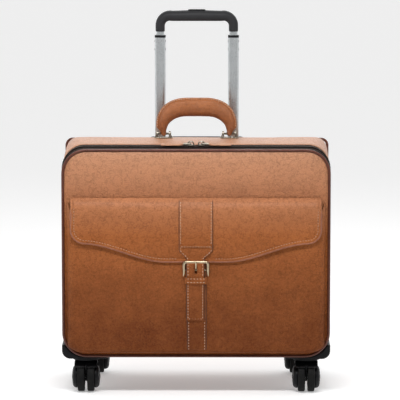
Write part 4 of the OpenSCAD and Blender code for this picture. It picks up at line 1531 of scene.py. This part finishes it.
black_plastic = moulded("black_plastic", (0.003, 0.003, 0.0035), (0.010, 0.010, 0.011), 0.42, 1500)
grip_plastic = moulded("grip_plastic", (0.012, 0.012, 0.013), (0.028, 0.028, 0.030), 0.50, 1100)
for node in ("trolley_outer_tubes", "stage_1_tubes", "stage_2_tubes"):
    paint(node, tube_paint)
paint("stage_1_collars", black_plastic)
paint("trolley_foot", black_plastic)

tube_low, tube_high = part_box("stage_1_tubes")
tube_y = (tube_low.y + tube_high.y) / 2
grip_low, grip_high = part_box("trolley_grip")
collar_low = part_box("stage_1_collars")[0]
tube_half = 9.2 * mm
tube_x = tube_high.x - tube_half



def plan_loop(low, high, r, inset, z):
    """A rounded outline of a box at this height, taken in by inset; r and inset in millimetres."""
    return [(x, y, z) for x, y in plan_outline(low, high, r * mm, -inset * mm)]


bezel_face = bezel_high.z
bezel_loops = [plan_loop(bezel_low, bezel_high, 7, 0.8, bezel_low.z + 13 * mm)]
# Over the rim and into the tray: down from the face, in from the side, corner radius.
for down, inset, r in ((2.4, 0, 8), (0.9, 0, 8), (0.3, 0.35, 7.6), (0, 1.1, 7), (0, 2.6, 6),
        (0.7, 3.0, 5.6), (0.7, 4.0, 5)):
    bezel_loops.append(plan_loop(bezel_low, bezel_high, r, inset, bezel_face - down * mm))
bezel = rod("trolley_bezel_plastic", bezel_loops, black_plastic)
tube_gap = 0.7 * mm
for s in (-1, 1):
    hole_half_y = (tube_high.y - tube_low.y) / 2 + tube_gap
    hole_plan = rounded_plan(tube_half + tube_gap, tube_y, hole_half_y, 4.5 * mm)
    outline = [(x + s * tube_x, y) for x, y in hole_plan]
    cut(bezel, cutter("tube_hole", outline, bezel_low.z - 10 * mm, bezel_face + 10 * mm))
fit(bezel, "case", "black_plastic", "trolley_bezel")

latch_r = 1.9 * mm
latch_radii = [latch_r, latch_r, latch_r * 0.8, latch_r * 0.3]
latch_parts = []
for s in (-1, 1):
    for side in (-1, 1):
        flank = s * tube_x + side * (tube_half - 0.2 * mm)
        for drop in (6.5 * mm, 20.5 * mm):
            path = [(flank + side * out * mm, tube_y, collar_low.z - drop) for out in (0, 0.45, 0.7, 0.75)]
            latch_parts.append(tube(path, latch_radii, sides=18))
fit(join_parts("latch_dots", latch_parts, black_plastic), "trolley_stage_1", "black_plastic")

bar_z = grip_high.z - 10 * mm
shoulder = 17 * mm
turn_x = tube_x - shoulder
turn_z = bar_z - shoulder
# Up a leg, round the shoulder and along the bar: x, z, and half the section across and deep, in millimetres.
grip_path = [(tube_x, grip_low.z, 7.3, 8.0), (tube_x, grip_low.z + 0.5 * mm, 7.9, 8.6),
    (tube_x, grip_low.z + 4 * mm, 8.0, 8.8)]
grip_path.append((tube_x, turn_z, 8.0, 9.0))
for i in range(1, 11):
    t = i / 10
    a = math.radians(90 * t)
    grip_path.append((turn_x + shoulder * math.cos(a), turn_z + shoulder * math.sin(a), 8.0 + t, 9.0
        + 1.6 * t))
for i in range(1, 15):
    t = i / 14
    swell = ease(t)
    grip_path.append((turn_x * (1 - t), bar_z + 0.6 * mm * swell - 0.4 * mm, 9.0 + 0.6 * swell, 10.6
        + 0.4 * swell))
grip_path += [(-x, z, a, b) for x, z, a, b in reversed(grip_path[:-1])]
grip_loops = []
for i, (x, z, across, deep) in enumerate(grip_path):
    out = across_path(grip_path, i)
    loop = []
    for k in range(28):
        a = 2 * math.pi * k / 28
        ca = math.copysign(abs(math.cos(a)) ** 0.85, math.cos(a))
        sa = math.copysign(abs(math.sin(a)) ** 0.85, math.sin(a))
        loop.append(Vector((x, tube_y, z)) + out * (ca * across * mm) + Vector((0, sa * deep * mm, 0)))
    grip_loops.append(loop)
grip = rod("trolley_grip_plastic", grip_loops, grip_plastic)
button_low, button_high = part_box("release_button")
button_outline = plan_outline(button_low, button_high, 4.4 * mm, 0.4 * mm)
cut(grip, cutter("button_well", button_outline, button_high.z - 9 * mm, button_high.z + 10 * mm))
fit(grip, "trolley_stage_2", "black_plastic", "trolley_grip")

button_loops = []
for z, inset in ((-4.6, 0.2), (-1.2, 0), (-0.5, 0.25), (-0.1, 0.9), (0, 1.8)):
    button_loops.append(plan_loop(button_low, button_high, 4, inset, button_high.z + z * mm))
button_parts = [(points_of(button_loops), capped(button_loops))]
for x in (-8, -4, 0, 4, 8):
    rib_path = [(x * mm, tube_y + y * mm, button_high.z) for y in (-3.2, -2.8, 2.8, 3.2)]
    button_parts.append(tube(rib_path, [0.2 * mm, 0.5 * mm, 0.5 * mm, 0.2 * mm], sides=10, axis=(0, 0, 1)))
fit(join_parts("release_button_plastic", button_parts, black_plastic), "grip_button", "black_plastic",
    "release_button")

# ---- Casters ----
# Each corner has a moulded shell that wraps the bottom of the case, with a boss for the swivel stem.
# The fork hangs from it and hoods two rubber-tyred wheels on one steel axle.


def moulded_copy(name, node, voxel, rounds, hub=None):
    """A mesh from the node's form, rounded as a moulding is. A hood over a hub is split in two."""
    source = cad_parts[node]
    mesh = source.data.copy()
    mesh.materials.clear()
    mesh.materials.append(black_plastic)
    piece = bpy.data.objects.new(name, mesh)
    scene.collection.objects.link(piece)
    piece.matrix_world = source.matrix_world.copy()
    if hub:
        for near, far in ((-40 * mm, -16 * mm), (16 * mm, 40 * mm)):
            for tool, half_x, top in (("hood_trim", 30 * mm, 19 * mm), ("hood_groove", 1.3 * mm, 30 * mm)):
                left_x, right_x = hub.x - half_x, hub.x + half_x
                near_y, far_y = hub.y + near, hub.y + far
                outline = [(left_x, near_y), (right_x, near_y), (right_x, far_y), (left_x, far_y)]
                cut(piece, cutter(tool, outline, hub.z, hub.z + top))
    remesh = piece.modifiers.new("voxels", "REMESH")
    remesh.mode = "VOXEL"
    remesh.voxel_size = voxel
    smooth = piece.modifiers.new("round", "SMOOTH")
    smooth.factor = 0.5
    smooth.iterations = rounds
    return shade_smooth(finish_modifiers(piece))


axle_steel = metal("axle_steel", (0.62, 0.63, 0.65), (0.30, 0.30, 0.32), 0.25)
rubber = Finish("wheel_rubber")
rubber_place = rubber.place()
rubber_grain = rubber.noise(rubber_place, 900, 3.0, 0.6)
rubber_dust = rubber.noise(rubber_place, 90, 4.0, 0.65)
rubber_paint = rubber.shade(
    Base_Color=rubber.mix(rubber_dust.above(0.5, 0.5), (0.004, 0.004, 0.005), (0.011, 0.011, 0.010)),
    Specular_IOR_Level=0.12,
    Roughness=0.55 + rubber_grain * 0.2, Normal=rubber.bump(rubber_grain, 0.0002, 0.5))


def turned(name, profile, centre, side, material, segments, spokes=None):
    """A closed ring turned about X from (x, r) points. Spokes dents it: (inner r, outer r, depth, count)."""
    loops = []
    for s in range(segments):
        a = 2 * math.pi * s / segments
        loop = []
        for x, r in profile:
            dent = 0
            if spokes and spokes[0] < r < spokes[1]:
                inner, outer, depth, count = spokes
                middle = 1 - abs(2 * (r - inner) / (outer - inner) - 1)
                dent = depth * ease(middle * 2.5) * ease((math.cos(a * count) + 0.35) / 0.5)
            loop.append(centre + Vector((side * (x - dent) * mm, r * mm * math.cos(a),
                r * mm * math.sin(a))))
        loops.append(loop)
    return ring(name, loops, material)


# From the fork outwards: distance from the axle's middle and radius, in millimetres.
tyre_profile = [(2.2, 14.0), (2.2, 19), (2.3, 22.8), (2.7, 24.1), (3.6, 24.8), (5.0, 25), (11.0, 25),
                (12.6, 24.8), (13.5, 24.2), (14.0, 23),
                (14.2, 20.8), (14.2, 18.0), (12.5, 17.4), (6, 14.0)]
hub_profile = [(2.6, 2.7), (2.6, 13.9), (6, 13.9), (12.5, 17.3), (14.0, 17.6), (14.6, 18.9), (15.6, 19.3),
               (17.8, 19.0), (20.0, 18.0),
               (21.6, 16.2), (22.3, 14.5), (22.7, 12.5), (22.9, 10.5), (23.1, 8.8), (23.3, 7.2),
               (23.2, 6.2), (22.6, 5.7), (22.6, 4.8),
               (23.3, 4.3), (23.9, 3.2), (24.0, 1.6), (24.0, 0.4), (21.4, 0.4), (21.4, 2.7)]
hub_dents = (7.4, 16.4, 0.9, 5)
for end in ("front", "rear"):
    for side in ("left", "right"):
        corner = end + "_" + side
        housing = moulded_copy("caster_shell_" + corner, "wheel_housing_" + corner, 1.1 * mm, 3)
        fit(housing, "case", "black_plastic", "wheel_housing_" + corner)
        low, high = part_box("axle_" + corner)
        hub_centre = (low + high) / 2
        fork = moulded_copy("caster_fork_" + corner, "fork_" + corner, 0.8 * mm, 4, hub_centre)
        fit(fork, "caster_" + corner, "black_plastic", "fork_" + corner)
        paint("axle_" + corner, axle_steel)
        for letter in ("a", "b"):
            node = "wheel_" + corner + "_" + letter
            way = 1 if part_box(node)[1].x > hub_centre.x + 10 * mm else -1
            body = "roller_" + corner + "_" + letter
            tyre = turned("tyre_" + corner + "_" + letter, tyre_profile, hub_centre, way, rubber_paint, 72)
            fit(tyre, body, "wheel_rubber", node)
            hub = turned("hub_" + corner + "_" + letter, hub_profile, hub_centre, way, black_plastic, 80,
                hub_dents)
            fit(hub, body, "black_plastic")
